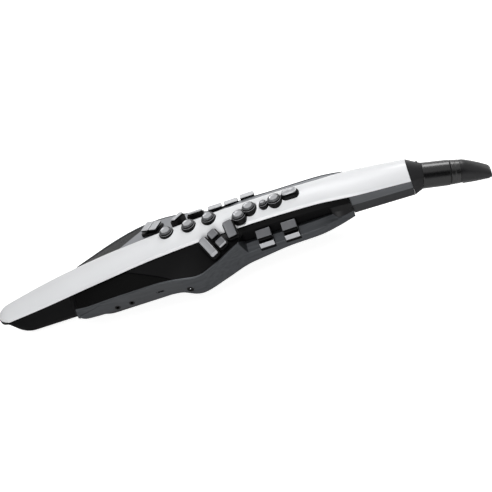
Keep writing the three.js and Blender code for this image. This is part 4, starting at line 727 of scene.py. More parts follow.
for side, name, paint in [(-1, "left_deck", deck_black), (1, "right_deck", far_wing_painted_reflection)]:
    rings = skin_rings(side, parting(side, GAP), straight(WING_END), 0, DECK_ROWS)
    deck = lofted(f"{name}_skin", rings, "case", paint, name)
cut_away(deck, [notch])


# Grilles: pressed steel sheet with close rows of fine holes, sunk a little below the decks. The
# left one is black; the right one is grey, a painted reflection of the light on the far side. Each
# has a round corner at the bell end, filled in by the body's black plastic.
GRILLE_DROP, GRILLE_CORNER, GRILLE_FRONT, HOLE_PITCH, HOLE_EDGE = 0.8, 9.0, 1.2, 0.0016, 0.3
GRILLE_ROWS, GRILLE_COLUMNS, FILLING_ROWS, FILLING_DROP = 50, 31, 6, 0.2


def punched_sheet(name, metal):
    """Painted sheet with close round holes: the product of two waves makes the staggered rows."""
    punched = Finish(name)
    along = punched.node("ShaderNodeSeparateXYZ", None, punched.place, output="X")
    across = Signal(punched, along.socket.node.outputs["Y"])
    turns = 2 * math.pi / HOLE_PITCH
    rows_of_holes = (along * turns).maths("COSINE") * (across * (turns / math.sqrt(3))).maths("COSINE")
    hole = rows_of_holes.maths("GREATER_THAN", HOLE_EDGE)
    punched.set(
        Base_Color=punched.between(hole, tone(metal), tone(metal / 4)), Roughness=hole * 0.4 + 0.42,
        Specular_IOR_Level=0.04, Normal=punched.bump(1 - hole, 0.0002),
    )
    return punched.material


def round_corner(side, shift):
    """Start of a grille: straight across, then round its outer corner on a quarter circle."""
    def line(reach):
        outer = rim(np.array(WING_START + GRILLE_CORNER))[0] - RIM - GAP
        past = np.clip(reach - (outer - GRILLE_CORNER), 0, GRILLE_CORNER)
        return WING_START + GRILLE_FRONT + GRILLE_CORNER - np.sqrt(GRILLE_CORNER**2 - past**2) + shift
    return line


# The right grille's grey stands in for light reflected on the far side: painted reflection.
for side, name, metal in [(-1, "left_grille", 5), (1, "right_grille", 92)]:
    rings = skin_rings(
        side, round_corner(side, 0), parting(side, -GAP), GRILLE_DROP, GRILLE_ROWS, GRILLE_COLUMNS,
    )
    lofted(f"{name}_sheet", rings, "case", punched_sheet(f"{name}_black", metal), name)
    rings = skin_rings(
        side, straight(WING_START), round_corner(side, -GAP), FILLING_DROP, FILLING_ROWS, GRILLE_COLUMNS,
    )
    lofted(f"{name}_corner", rings, "case", case_black)


# Side walls: bands in dark metallic grey that wrap round the wings, with a slim rim along the
# top. The left one turns into a sloping ledge over a wall beside the palm keys, with their slots.
WALL_STATION, WALL_EASE = 2.5, 0.45
JACKS, JACK_RADIUS, INLET, INLET_RADIUS = [(153.5, 26.6), (172.0, 28.6)], 3.2, (244.0, 28.0), 4.2
JACK_DEEP, INLET_DEEP = 20.0, 2.2
GROOVE_RUN, GROOVE_DROP, GROOVE_STEPS = (WING_START + 2, 136.0), (7.5, 2.0), 16
GROOVE_HALF, GROOVE_DEEP, GROOVE_OUT = 0.4, 0.5, 3.0


def brushed(name, low, high, roughness):
    """Dark metallic paint over fine brushing: long streaks in the colour, the gloss and the bump."""
    made = Finish(name)
    streak = made.noise(420, 3, (0.03, 1, 1))
    made.set(
        Base_Color=made.between(streak, tone(*low), tone(*high)), Metallic=0.6, Specular_IOR_Level=0.4,
        Roughness=streak * 0.16 + (roughness - 0.08), Normal=made.bump(streak, 0.00003),
    )
    return made.material


def eased(outlines, radius, steps=3):
    """Closed outlines with each corner replaced by a small arc: a quadratic curve from a point that
    far before the corner to one as far after it, or to 0.4 of a shorter side. One more point on
    each side, a little further out, keeps the flats flat in the shading."""
    sides = [np.roll(outlines, 1, 1) - outlines, np.roll(outlines, -1, 1) - outlines]
    long = [np.linalg.norm(v, axis=-1, keepdims=True) for v in sides]
    (start, end), (held, kept) = [
        [outlines + v / np.maximum(d, 1e-6) * np.minimum(reach, limit * d) for v, d in zip(sides, long)]
        for reach, limit in ((radius, 0.4), (radius * 1.3, 0.48))
    ]
    t = np.linspace(0, 1, steps + 1)[:, None]
    start, corner, end, held, kept = [a[:, :, None] for a in (start, outlines, end, held, kept)]
    arcs = np.concatenate([held, (1 - t) ** 2 * start + 2 * t * (1 - t) * corner + t**2 * end, kept], 2)
    return arcs.reshape(len(outlines), -1, outlines.shape[-1])


def wall_outline(s, side):
    """Outline of a side wall: round its rim, down the outside and back up a faintly bowed inside,
    mixed with the outline of the ledge where the palm keys are."""
    (outer, height), (toe, low) = rim(s), foot(s)
    edge, inner_at = edge_height(s), cover_half(s) - SEAT

    def on_rim(back, crown=0.0):
        return pair(outer - back, height + (edge - height) * back / (outer - inner_at) + crown)

    shelf = WELL_WALL + (toe - WELL_WALL) * WELL_SHARE
    inner = [on_rim(RIM), pair(toe - WALL, low)]
    plain = [
        on_rim(RIM), on_rim(RIM / 2, RIM_CROWN), pair(outer, height), pair(toe, low), inner[1],
        *[bowed(*inner, share, BOW) for share in FACE_SHARES[::-1]],
    ]
    ledge = [
        pair(WELL_WALL + GAP, SHELF + 0 * s), pair(shelf, SHELF), pair(toe, LEDGE), pair(toe, low), inner[1],
        pair(toe - WALL, LEDGE - LEDGE_WALL), pair(shelf, SHELF - WALL),
        pair(WELL_WALL + GAP, SHELF - WALL + 0 * s),
    ]
    return np.stack([mix(a, b, well_share(s, side)) for a, b in zip(plain, ledge)], 1)


def wall_reach(s, height):
    """Reach of the wing wall's outer face at a height."""
    (outer, top), (toe, low) = rim(np.array([s])), foot(np.array([s]))
    return float((toe + (outer - toe) * (height - low) / (top - low))[0])


band_grey = brushed("band_grey", (44, 46, 49), (74, 76, 79), 0.36)
band_run = np.concatenate([
    np.linspace(WING_START, WING_START + CORNER_RUN, 14),
    np.arange(WING_START + CORNER_RUN + 2, WELL_NEAR[0], WALL_STATION), well_run,
    np.arange(WELL_NEAR[1] + 2, WING_END, WALL_STATION), [WING_END],
])
bands = []
for side, name in [(-1, "left_band"), (1, "right_band")]:
    outline = eased(wall_outline(band_run, side), WALL_EASE)
    outline[..., 1] = np.maximum(outline[..., 1], (foot(band_run)[1] + corner_rise(band_run))[:, None])
    bands.append(lofted(f"{name}_wall", on_stations(band_run, outline * (side, 1)), "case", band_grey, name))
sockets = [(*jack, JACK_RADIUS + GAP, JACK_DEEP) for jack in JACKS] + [(*INLET, INLET_RADIUS, INLET_DEEP)]
bores = [
    along_y(lathe(rod(radius, -deep, OVERRUN)), s, -wall_reach(s, height), height)
    for s, height, radius, deep in sockets
]
groove = []
for s, drop in zip(np.linspace(*GROOVE_RUN, GROOVE_STEPS), np.linspace(*GROOVE_DROP, GROOVE_STEPS)):
    height = rim(np.array([s]))[1][0] - drop
    reach = wall_reach(s, height)
    across, up = (-reach + GROOVE_DEEP, -reach - GROOVE_OUT), (height - GROOVE_HALF, height + GROOVE_HALF)
    groove += block([s], across, up).tolist()
cut_away(bands[0], [*palm_pockets, port, *bores, np.array(groove)])
cut_away(bands[1], [notch])


# Sockets in the left wall: two round sockets with black bushes, a slot for a small flat plug with
# a metal shell inside it, and a round recess for the power plug with its centre pin.
socket_black = moulded("socket_black", (9, 9, 10), (14, 14, 15), 0.45, shine=0.25)
BUSH = [(0, -9), (1.8, -9), (1.8, 0.2), (2.2, 0.6), (JACK_RADIUS, 0.6), (JACK_RADIUS, -9.5), (0, -9.5)]
INLET_CUP = [(0, -2.1), (3.2, -2.1), (3.2, -0.5), (4.0, -0.5), (4.0, -INLET_DEEP), (0, -INLET_DEEP)]
INLET_PIN = [(0, -INLET_DEEP), (0.8, -INLET_DEEP), (0.8, -0.6), (0, -0.4)]
PORT_AT, SHELL_RUN, SHELL_UP, SHELL_THICK = (210, 35), (206.2, 213.8), (33.9, 36.1), 0.25
SHELL_SET, SHELL_DEEP, TONGUE_RUN, TONGUE_SET, TONGUE_UP = 1.5, 7.0, (207.2, 212.8), 2.2, (34.8, 35.2)
bush = rounded(BUSH, 0.2)
for number, (s, height) in enumerate(JACKS):
    place = (s, -wall_reach(s, height), height)
    nodes = [] if number else ["side_jacks"]
    turned_piece(f"jack_{number + 1}_bush", bush, place, "case", socket_black, *nodes, lay=along_y)
face = -wall_reach(*PORT_AT)
deep = (face + SHELL_SET, face + SHELL_DEEP)
shell = [block(SHELL_RUN, deep, (z, z + SHELL_THICK)) for z in (SHELL_UP[0], SHELL_UP[1] - SHELL_THICK)]
shell += [block((s, s + SHELL_THICK), deep, SHELL_UP) for s in (SHELL_RUN[0], SHELL_RUN[1] - SHELL_THICK)]
for number, plate in enumerate(shell):
    lofted(f"port_{number + 1}", plate, "case", steel)
tongue = block(TONGUE_RUN, (face + TONGUE_SET, face + SHELL_DEEP), TONGUE_UP)
lofted(f"port_{len(shell) + 1}", tongue, "case", socket_black)
place = (INLET[0], -wall_reach(*INLET), INLET[1])
turned_piece("inlet_cup", rounded(INLET_CUP, 0.15), place, "case", socket_black, lay=along_y)
turned_piece("inlet_pin", rounded(INLET_PIN, 0.3), place, "case", steel, lay=along_y)


# End of the palm-key well: the wing's black side sweeps up in a hollow curve from the ledge to
# the strip beside the cover, and closes the well in front of the neck.
END_START, END_RAMP, END_DROP, END_HOLLOW = 421.0, 6.0, 1.2, -0.8
END_THIN, END_ROOT, END_ROWS, END_EASE = 0.2, 2.0, 24, 0.5
well_black = brushed("well_black", (4, 4, 5), (18, 18, 20), 0.36)


def well_end(s):
    """Outline that fills the well: its outer face leans from the strip to the ledge's lip, and
    starts as a sliver against the well's wall that thickens along a quarter circle."""
    share = np.clip((s - END_START) / (WING_END - END_START - END_RAMP), 0, 1)
    grown = np.sqrt(1 - (1 - share) ** 2)
    start, root = WELL_WALL + END_THIN, WELL_WALL - END_ROOT
    top = pair(start + (STRIP_REACH - WELL_WALL - GAP) * grown, edge_height(s) - STRIP_DROP - SKIN)
    low = pair(start + (foot(s)[0] - WELL_WALL + 0.5) * grown, LEDGE + END_DROP)
    middle = bowed(top, low, 0.5, END_HOLLOW)
    return np.stack([pair(root, top[:, 1]), top, middle, low, pair(root, LEDGE + 0 * s)], 1)


end_run = np.linspace(END_START, WING_END, END_ROWS)
rings = on_stations(end_run, eased(well_end(end_run), END_EASE) * (-1, 1))
lofted("well_end", rings, "case", well_black)


# Neck: a grey metallic moulding under the cover's end. Below the long facet along each side it
# takes a darker copy of the grey, painted shade for faces turned down from the light. It stops at
# the collar.
NECK_START, NECK_END, NECK_LAP, COLLAR_LAP = 447.0, 517.0, 0.8, 0.1
FACET_AT, FACET_HEIGHT, FACET_DROP, NECK_ROWS, NECK_EASE = 21.0, 42.0, 5.0, 30, 0.7
NECK_FLOOR_HALF, NECK_CHAMFER, FLOOR_DROP = 13.0, 3.0, 2.0
neck_grey = brushed("neck_grey", (76, 78, 81), (96, 98, 101), 0.34)
neck_painted_shade = brushed("neck_painted_shade", (38, 39, 41), (52, 53, 55), 0.4)


def neck_side(s):
    """One side of the neck: seat, facet edge, chamfer and floor, drawn in with the cover's end."""
    share = (s - NECK_START) / (NECK_END - NECK_START)
    ends = cover_half(np.array([NECK_START, NECK_END]))
    low = NECK_FLOOR - FLOOR_DROP * share
    facet = pair(FACET_AT * (1 + (ends[1] / ends[0] - 1) * share), FACET_HEIGHT - FACET_DROP * share)
    chamfer = pair(NECK_FLOOR_HALF + NECK_CHAMFER, low + NECK_CHAMFER)
    seat = pair(cover_half(s) - SEAT, edge_height(s) - GAP)
    return np.stack([seat, facet, chamfer, pair(NECK_FLOOR_HALF + 0 * s, low)], 1)


def columns_below(ring, height, rows):
    """Faces of a loft whose middle, on this one of its rings, lies below a height."""
    middle = (ring[:, -1] + np.roll(ring[:, -1], -1)) / 2
    return (np.arange(rows - 1)[:, None] * len(ring) + np.flatnonzero(middle < height)).ravel()


neck_run = np.linspace(NECK_START - NECK_LAP, NECK_END + COLLAR_LAP, NECK_ROWS)
outline = np.concatenate([neck_side(neck_run) * (-1, 1), neck_side(neck_run)[:, ::-1]], 1)
rings = on_stations(neck_run, eased(outline, NECK_EASE))
# The faces below the facet take the darker copy of the grey: painted shade.
shaded = columns_below(rings[0], FACET_HEIGHT - 0.2, len(neck_run))
lofted("neck_form", rings, "case", neck_grey, "neck_case", dark=shaded, under=neck_painted_shade)


# Collar: a black moulding that closes the cover and the neck, and draws their outline together
# into the round butt of the barrel. A screw hole is sunk in its upper side.
COLLAR_START, COLLAR_RUN, TILT, AXIS_HEIGHT, BARREL_RADIUS = 517.3, 12.2, math.radians(14.5), 34.6, 15.0
COLLAR_EASE, CROWN_POINTS, FINE_POINTS, COLLAR_POINTS, COLLAR_ROWS = 1.2, 25, 12, 120, 16
SCREW_SHARE, SCREW_TURN, SCREW_RAISED = 0.72, math.radians(66), 0.1
SCREW_HOLE = [(0, -1.2), (1.1, -1.2), (1.1, 0.05), (1.5, 0.05), (1.5, -1.4), (0, -1.4)]
collar_black = moulded("collar_black", (16, 16, 18), (22, 22, 24), 0.36, grain=0.00002, shine=0.2)


def tipped(points):
    """Points along, across and up from the barrel's butt, tipped with it into the frame."""
    x, y, z = np.moveaxis(np.asarray(points, float), -1, 0)
    along, up = x * math.cos(TILT) + z * math.sin(TILT), z * math.cos(TILT) - x * math.sin(TILT)
    return np.stack([COLLAR_START + COLLAR_RUN + along, y, AXIS_HEIGHT + up], -1)


def crown_height(share, grown=1.0):
    """Height of the cover over its lower edge: a parabola across, on top of the steep lip."""
    return LIP_RISE + (CROWN - LIP_RISE) * grown * (1 - share**2)


share = np.linspace(-1, 1, CROWN_POINTS)
shoulder = cover_half(NECK_END) * (1 - LIP_INSET / COVER_HALF)
crown = pair(share * shoulder, edge_height(NECK_END) + crown_height(share))
half = neck_side(np.array([NECK_END]))[0]
half[0] = (cover_half(NECK_END), edge_height(NECK_END))
ring = eased(np.concatenate([crown, half, half[::-1] * (-1, 1)])[None], COLLAR_EASE)[0]
onward = np.roll(ring, -1, 0) - ring
fine = np.concatenate([ring + onward * t for t in np.linspace(0, 1, FINE_POINTS, endpoint=False)])
angle = np.arctan2(fine[:, 1] - AXIS_HEIGHT, fine[:, 0])
order = np.argsort(angle)
turn = np.linspace(-math.pi, math.pi, COLLAR_POINTS, endpoint=False)
radius = np.hypot(fine[:, 0], fine[:, 1] - AXIS_HEIGHT)
radius = np.interp(turn, angle[order], radius[order], period=2 * math.pi)
cosine, sine = np.cos(turn), np.sin(turn)
flat = np.column_stack([np.full_like(turn, COLLAR_START), radius * cosine, AXIS_HEIGHT + radius * sine])
round_end = tipped(np.column_stack([0 * turn, BARREL_RADIUS * cosine, BARREL_RADIUS * sine]))
steps = np.sin(np.linspace(0, 1, COLLAR_ROWS) * math.pi / 2)
lofted("collar_form", [flat + (round_end - flat) * step for step in steps], "case", collar_black, "collar")
screw_ring = flat + (round_end - flat) * SCREW_SHARE
spot = screw_ring[np.argmin(np.abs(turn - SCREW_TURN))] + (0, 0, SCREW_RAISED)
turned_piece("collar_screw_hole", rounded(SCREW_HOLE, 0.12), tuple(spot), "case", socket_black)


# Barrel: a gloss black tube that plugs into the collar, with the breath sensor behind its bore
# and a turned band at its end. The mouthpiece's tenon slides into the two of them.
BARREL_LENGTH, BARREL_END, BORE, BORE_START, BAND_LENGTH = 31.5, 14.6, 9.0, 8.2, 11.2
BAND_START = BARREL_LENGTH + GAP
TUBE = [
    (0, GAP), (BARREL_RADIUS, GAP), (BARREL_END, BARREL_LENGTH), (BORE, BARREL_LENGTH), (BORE, BORE_START),
    (0, BORE_START),
]
BAND = np.array([
    (BORE, 0), (13.3, 0), (14.2, 0.9), (13.9, 5.2), (13.55, 5.4), (13.55, 5.9), (13.8, 6.1),
    (13.5, BAND_LENGTH), (BORE, BAND_LENGTH), (BORE, 0),
]) + (0, BAND_START)
SENSOR = [
    (0, 8.5), (8.6, 8.5), (8.6, 13), (2.4, 13), (2.4, 17.5), (1.2, 17.5), (1.2, 13.5), (0, 13.5),
]
gloss_black = moulded("gloss_black", (4, 4, 5), (7, 7, 8), 0.26, grain=0.000005, shine=0.5)
band_black = moulded("band_black", (6, 6, 7), (10, 10, 11), 0.28, grain=0.00003, fine=3800, shine=0.6)


def on_barrel(rings):
    """Rings about the vertical, laid along the barrel's axis, which tips down to the mouthpiece."""
    x, y, z = np.moveaxis(rings, -1, 0)
    return tipped(np.stack([z, y, -x], -1))


for name, profile, soft, finish, node in [
    ("barrel_tube", TUBE, 0.5, gloss_black, "barrel"),
    ("band_ring", BAND, 0.25, band_black, "mouthpiece_band"),
    ("sensor_nozzle", SENSOR, 0.4, cone_paper, "breath_sensor"),
]:
    turned_piece(name, rounded(profile, soft), (), "case", finish, node, lay=on_barrel)


# Mouthpiece: one moulded beak, round where it meets the band, sloping to a thin tip, with a flat
# table underneath for the reed and a tenon behind it.
BEAK_LENGTH, BEAK_RADIUS, TIP_HALF, TIP_DROP, TIP_THICK, SQUARING = 36.0, 13.3, 8.5, 7.4, 1.8, 0.3
BEAK_TOP = np.array([
    [0, 1], [0.12, 0.985], [0.3, 0.83], [0.5, 0.61], [0.7, 0.37], [0.86, 0.15], [0.95, 0.02], [1, -0.14],
])
TABLE_DROP, REED_LENGTH, SLOT_HALF, WINDOW_HALF, BELOW = 3.2, 33.0, 7.1, 4.6, -30.0
WINDOW = ((19, -7.0), (3, -7.6))
TENON_RADIUS, TENON_BACK, TENON_AHEAD = 8.7, 23.0, 4.0
beak_black = moulded("beak_black", (18, 18, 20), (24, 24, 26), 0.36, grain=0.000012, shine=0.3)
beak_start = BAND_START + BAND_LENGTH + GAP
tip = beak_start + BEAK_LENGTH
reed_start = tip - REED_LENGTH


def table_height(x):
    """Height of the flat under the beak: a straight line from its butt to its tip."""
    share = (x - beak_start) / BEAK_LENGTH
    return -BEAK_RADIUS + TABLE_DROP + (BEAK_RADIUS - TABLE_DROP - TIP_DROP - TIP_THICK / 3) * share


def room_below(half, stations):
    """Body under the beak up to the height given at each station, to be cut away."""
    return tipped(np.concatenate([block([x], (-half, half), (BELOW, height)) for x, height in stations]))


share = np.concatenate([np.linspace(0, 0.94, 30), np.linspace(0.95, 1, 8)])[:, None]
turn = np.linspace(0, 2 * math.pi, 96, endpoint=False)
top = np.maximum(BEAK_RADIUS * follow(BEAK_TOP, share), -TIP_DROP + TIP_THICK / 2 * (1 - share))
bottom = -BEAK_RADIUS + (BEAK_RADIUS - TIP_DROP - TIP_THICK) * share
half = BEAK_RADIUS + (TIP_HALF - BEAK_RADIUS) * share
across, up = [np.sign(f(turn)) * np.abs(f(turn)) ** (1 - SQUARING * share) for f in (np.cos, np.sin)]
along = beak_start + share * BEAK_LENGTH + 0 * across
rings = np.stack([along, half * across, (top + bottom + (top - bottom) * up) / 2], -1)
beak = lofted("mouthpiece_beak", tipped(rings), "mouthpiece", beak_black, "mouthpiece")
cut_away(beak, [
    room_below(SLOT_HALF, [(x, table_height(x)) for x in (reed_start - GAP, tip + OVERRUN)]),
    room_below(WINDOW_HALF, [(tip - back, height) for back, height in WINDOW]),
])
tenon = rounded(rod(TENON_RADIUS, beak_start - TENON_BACK, beak_start + TENON_AHEAD), 0.6)
turned_piece("mouthpiece_tenon", tenon, (), "mouthpiece", beak_black, lay=on_barrel)


# Reed: a tongue of dark plastic held flat on the table, thick at its butt and thin at its tip,
# with a round tip edge. It bends towards the beak when the player bites.
REED_HALF, REED_THICK, REED_THINS, REED_TILT, REED_ROUND = 6.8, 2.2, 1.5, 0.7, 4.0
reed_black = moulded("reed_black", (52, 52, 54), (62, 62, 64), 0.42, grain=0.00002)
round_from = tip - REED_ROUND
turn = np.linspace(0, 1, 9)[1:] * math.pi / 2
x = np.concatenate([
    np.linspace(reed_start, round_from, 24), tip - GAP - (REED_ROUND - GAP) * (1 - np.sin(turn)),
])
share = (x - reed_start) / REED_LENGTH
upper = table_height(x) - GAP - REED_TILT * share
lower = upper - REED_THICK + REED_THINS * smooth_step(share, 0.25, 1.0)
narrowed = np.sqrt(np.clip(1 - ((x - round_from) / (REED_ROUND - 0.1)) ** 2, 0.12, 1))
width = np.where(x > round_from, REED_HALF * (1 + narrowed) / 2, REED_HALF)
outline = np.stack([pair(-width, lower), pair(width, lower), pair(width, upper), pair(-width, upper)], 1)
lofted("reed_blade", tipped(on_stations(x, eased(outline, 0.25))), "reed", reed_black, "reed")


# White front cover: a moulded shell that runs from the bell to the collar along a long arch, with
# a low steep lip on each side. It is sprayed satin white, and holes are cut for the key rings.
COVER_WALL, COVER_POINTS, COVER_ROWS, COVER_EASE = 2.2, 41, 90, 0.9
satin_white = moulded("satin_white", (231, 232, 234), (237, 238, 240), 0.34, grain=0.000008, coat=0.2)


def cover_ring(s, shrink, drop=0.0):
    """Closed outline of the cover at s: up the left lip, over the crown and down the right lip."""
    half = cover_half(s) - shrink
    share = np.linspace(-1, 1, COVER_POINTS)
    height = edge_height(s) - shrink + crown_height(share, nose_share(s))
    low = edge_height(s) - drop
    crown = np.column_stack([share * half * (1 - LIP_INSET / COVER_HALF), height])
    outline = np.vstack([(-half, low), crown, (half, low)])
    return np.column_stack([np.full(len(outline), s), outline])


runs = np.concatenate([NOSE_SHARES * NOSE_RUN, np.linspace(NOSE_RUN, COVER_LENGTH, COVER_ROWS)[1:]])
rings = eased(np.array([cover_ring(s, 0) for s in runs]), COVER_EASE)
cover = lofted("front_cover_shell", rings, "case", satin_white, "front_cover")
hollow = np.unique(np.clip(runs, COVER_WALL, COVER_LENGTH - COVER_WALL))
cover_holes = [np.array([cover_ring(s, COVER_WALL, OVERRUN) for s in hollow])]


# Lip of the lower case round the cover's nose: the same black plastic stands up in a thin edge
# outside the white cover, highest at the tip, and runs out along the bell on both sides.
LIP_END, LIP_UP, LIP_FADE, LIP_LOW, LIP_IN, LIP_OUT, LIP_CENTRE = 13.0, 2.6, 13.2, -1.5, -0.4, 0.7, (20, 0)
stations = NOSE_SHARES * NOSE_RUN
stations = stations[(stations > 0) & (stations < LIP_END)]
plan = pair(stations, cover_half(stations))
plan = np.vstack([plan[::-1], [(0.0, 0.0)], plan * (1, -1)])
outward = np.column_stack([np.gradient(plan[:, 1]), -np.gradient(plan[:, 0])])
outward /= np.linalg.norm(outward, axis=1, keepdims=True)
outward *= np.sign(np.sum(outward * (plan - LIP_CENTRE), 1, keepdims=True))
rise = LIP_UP * np.sqrt(np.clip(1 - plan[:, 0] / LIP_FADE, 0, 1))
low = np.full_like(rise, LIP_LOW)
lip = [
    np.column_stack([plan + outward * reach, edge_height(plan[:, 0]) + up])
    for reach, up in ((LIP_IN, low), (LIP_OUT, low), (LIP_OUT, rise), (LIP_IN, rise))
]
lofted("nose_lip", np.stack(lip, 1), "case", case_black)


# Key rings: one black moulded frame under the cover, whose rings stand up through it round each
# finger key. A ring has a stepped top edge whose bevel is painted grey, a painted highlight where
# the edge would catch the light, and a floor bored for the stem.
RING_DEEP, RING_TOP, RING_STEP, RING_BEVEL, RING_ROOM = -5.1, 2.4, 1.1, 0.3, (-7, 9)
EDGE, PLAY, STEM, STEM_BORE = 0.45, 0.35, 2.0, 2.35
ROUND_KEY = {"key": 7.2, "ring": 8.8, "rim": 6.15, "groove": 5.5, "disc": 5.1}
SMALL_KEY = {"key": 4.1, "ring": 5.5, "rim": 3.35, "groove": 2.9, "disc": 2.6}
FINGER_KEYS = {
    "d_key": (233.0, 2.5, ROUND_KEY), "e_key": (261.0, 0.0, ROUND_KEY), "f_key": (286.0, 0.0, ROUND_KEY),
    "g_key": (321.5, -11.3, ROUND_KEY), "a_key": (334.8, -5.5, ROUND_KEY),
    "bis_key": (352.0, -7.0, SMALL_KEY), "b_key": (365.3, -5.5, ROUND_KEY),
}
FRONT_AT, FRONT_LENGTH, FRONT_WIDTH, FRONT_CORNER = (383.9, -3.6), 17.5, 9.0, 3.6
FRONT_WALL, FRONT_ROOM = PLAY + 1.4, (-7, 8)
FRONT_RING = [
    (0, RING_DEEP), (0, 1.1), (0.1, 1.3), (0.5, 1.3), (0.55, 2.2), (0.7, RING_TOP), (1.25, RING_TOP),
    (1.4, 2.2), (1.4, 0),
]
QUARTER_STEPS = 6
# Painted highlight: this grey on the rings' stepped edge stands in for light caught by the edge.
painted_edge_highlight = moulded("painted_edge_highlight_grey", (112, 113, 116), (124, 125, 128), 0.3, grain=0.00001)
ring_black = moulded("ring_black", (4, 4, 5), (7, 7, 8), 0.3, grain=0.00001, shine=0.12)


def cover_top(s, across):
    """Height of the cover's outer face: a parabola across, over the arch along."""
    shoulder = cover_half(np.array(s)) * (1 - LIP_INSET / COVER_HALF)
    return float(edge_height(np.array(s)) + crown_height(across / shoulder))


def faces_within(profile, reach, height):
    """Faces of a turned body whose part of the profile lies inside that window."""
    middle = (profile[:-1] + profile[1:]) / 2
    inside = (middle > (reach[0], height[0])) & (middle < (reach[1], height[1]))
    return (np.flatnonzero(inside.all(1))[:, None] * len(TURN) + np.arange(len(TURN))).ravel()


def plate_outline(length, width, corner):
    """Outline of a rectangle with round corners, as (along, across) points round the origin."""
    turn = np.linspace(0, math.pi / 2, QUARTER_STEPS + 1)
    corner = min(corner, length / 2 - 0.01, width / 2 - 0.01)
    quarters = []
    for quarter, (x, y) in enumerate([(1, 1), (-1, 1), (-1, -1), (1, -1)]):
        angle = turn + quarter * math.pi / 2
        centre = np.array([x * (length / 2 - corner), y * (width / 2 - corner)])
        quarters.append(centre + corner * np.column_stack([np.cos(angle), np.sin(angle)]))
    return np.vstack(quarters)


def plate_rings(length, width, corner, levels):
    """Rings of a plate: the outline drawn in by each level's inset, at that level's height."""
    rings = []
    for inset, up in levels:
        outline = plate_outline(length - 2 * inset, width - 2 * inset, max(corner - inset / 2, 0.2))
        rings.append(np.column_stack([outline, np.full(len(outline), up)]))
    return np.array(rings)


# The grey faces on each ring's stepped edge are painted highlight.
for name, (s, across, form) in FINGER_KEYS.items():
    place = (s, across, cover_top(s, across))
    outer, bore, shoulder = form["ring"], form["key"] + PLAY, RING_TOP - RING_STEP
    step = outer - (outer - bore) / 2
    ring = rounded([
        (STEM_BORE, RING_DEEP), (outer, RING_DEEP), (outer, shoulder - RING_BEVEL),
        (outer - RING_BEVEL, shoulder), (step, shoulder), (step, RING_TOP - EDGE), (step - EDGE, RING_TOP),
        (bore, RING_TOP), (bore, 0), (STEM_BORE, 0), (STEM_BORE, RING_DEEP),
    ], 0.1, 2)
    lit = faces_within(ring, (step - EDGE, step), (RING_TOP - EDGE, RING_TOP))
    nodes = ["key_frame"] if name == "d_key" else []
    turned_piece(f"{name}_ring", ring, place, "case", ring_black, *nodes, dark=lit, under=painted_edge_highlight)
    cover_holes.append(lathe(rod(outer + GAP, *RING_ROOM), place))
front_key = np.array([*FRONT_AT, cover_top(*FRONT_AT)])
sizes = [FRONT_LENGTH + 2 * FRONT_WALL, FRONT_WIDTH + 2 * FRONT_WALL, FRONT_CORNER + FRONT_WALL]
front_ring = lofted("front_key_ring", plate_rings(*sizes, FRONT_RING) + front_key, "case", ring_black)
cut_away(front_ring, [lathe(rod(STEM_BORE, RING_DEEP - 1, 1), front_key)])
room = plate_rings(*[size + 2 * GAP for size in sizes], [(0, up) for up in FRONT_ROOM])
cut_away(cover, [*cover_holes, room + front_key])


# Finger keys: a light grey dished disc set in a darker rim with a step round it, and a fine groove
# between them, filled with a black ring as painted shade. A stem goes down through the ring's
# floor to its switch.
KEY_LOW, KEY_TOP, LEDGE_UP, KEY_DISH, STEM_LOW = 2.3, 5.6, 4.45, 0.8, -4.4
DISC_LOW, DISC_EDGE, SEAT_LOW, SEAT_TOP, SEAT_LAP = 1.5, 0.3, 1.6, 1.1, 0.02
disc_grey = moulded(
    "disc_grey", (158, 159, 162), (170, 171, 174), 0.26, grain=0.000008, coat=0.35, metallic=0.3,
)
rim_grey = moulded("rim_grey", (88, 89, 92), (98, 99, 102), 0.24, grain=0.000006, coat=0.35, metallic=0.3)
stem_black = moulded("stem_black", (5, 5, 6), (9, 9, 10), 0.45, shine=0.06)


def dished(low, high, bevel, dish, steps=5):
    """Levels of a key cap: a straight side, a rounded edge and a faintly dished top."""
    turn = np.linspace(0, math.pi / 2, steps)
    edge = [(bevel * (1 - math.cos(a)), high - bevel * (1 - math.sin(a))) for a in turn]
    flats = [(bevel * 1.2, high), (bevel + 0.8, high - dish * 0.4), (bevel + 2.0, high - dish)]
    return [(0.25, low), (0, low + 0.25), (0, high - bevel * 1.2), *edge, *flats]


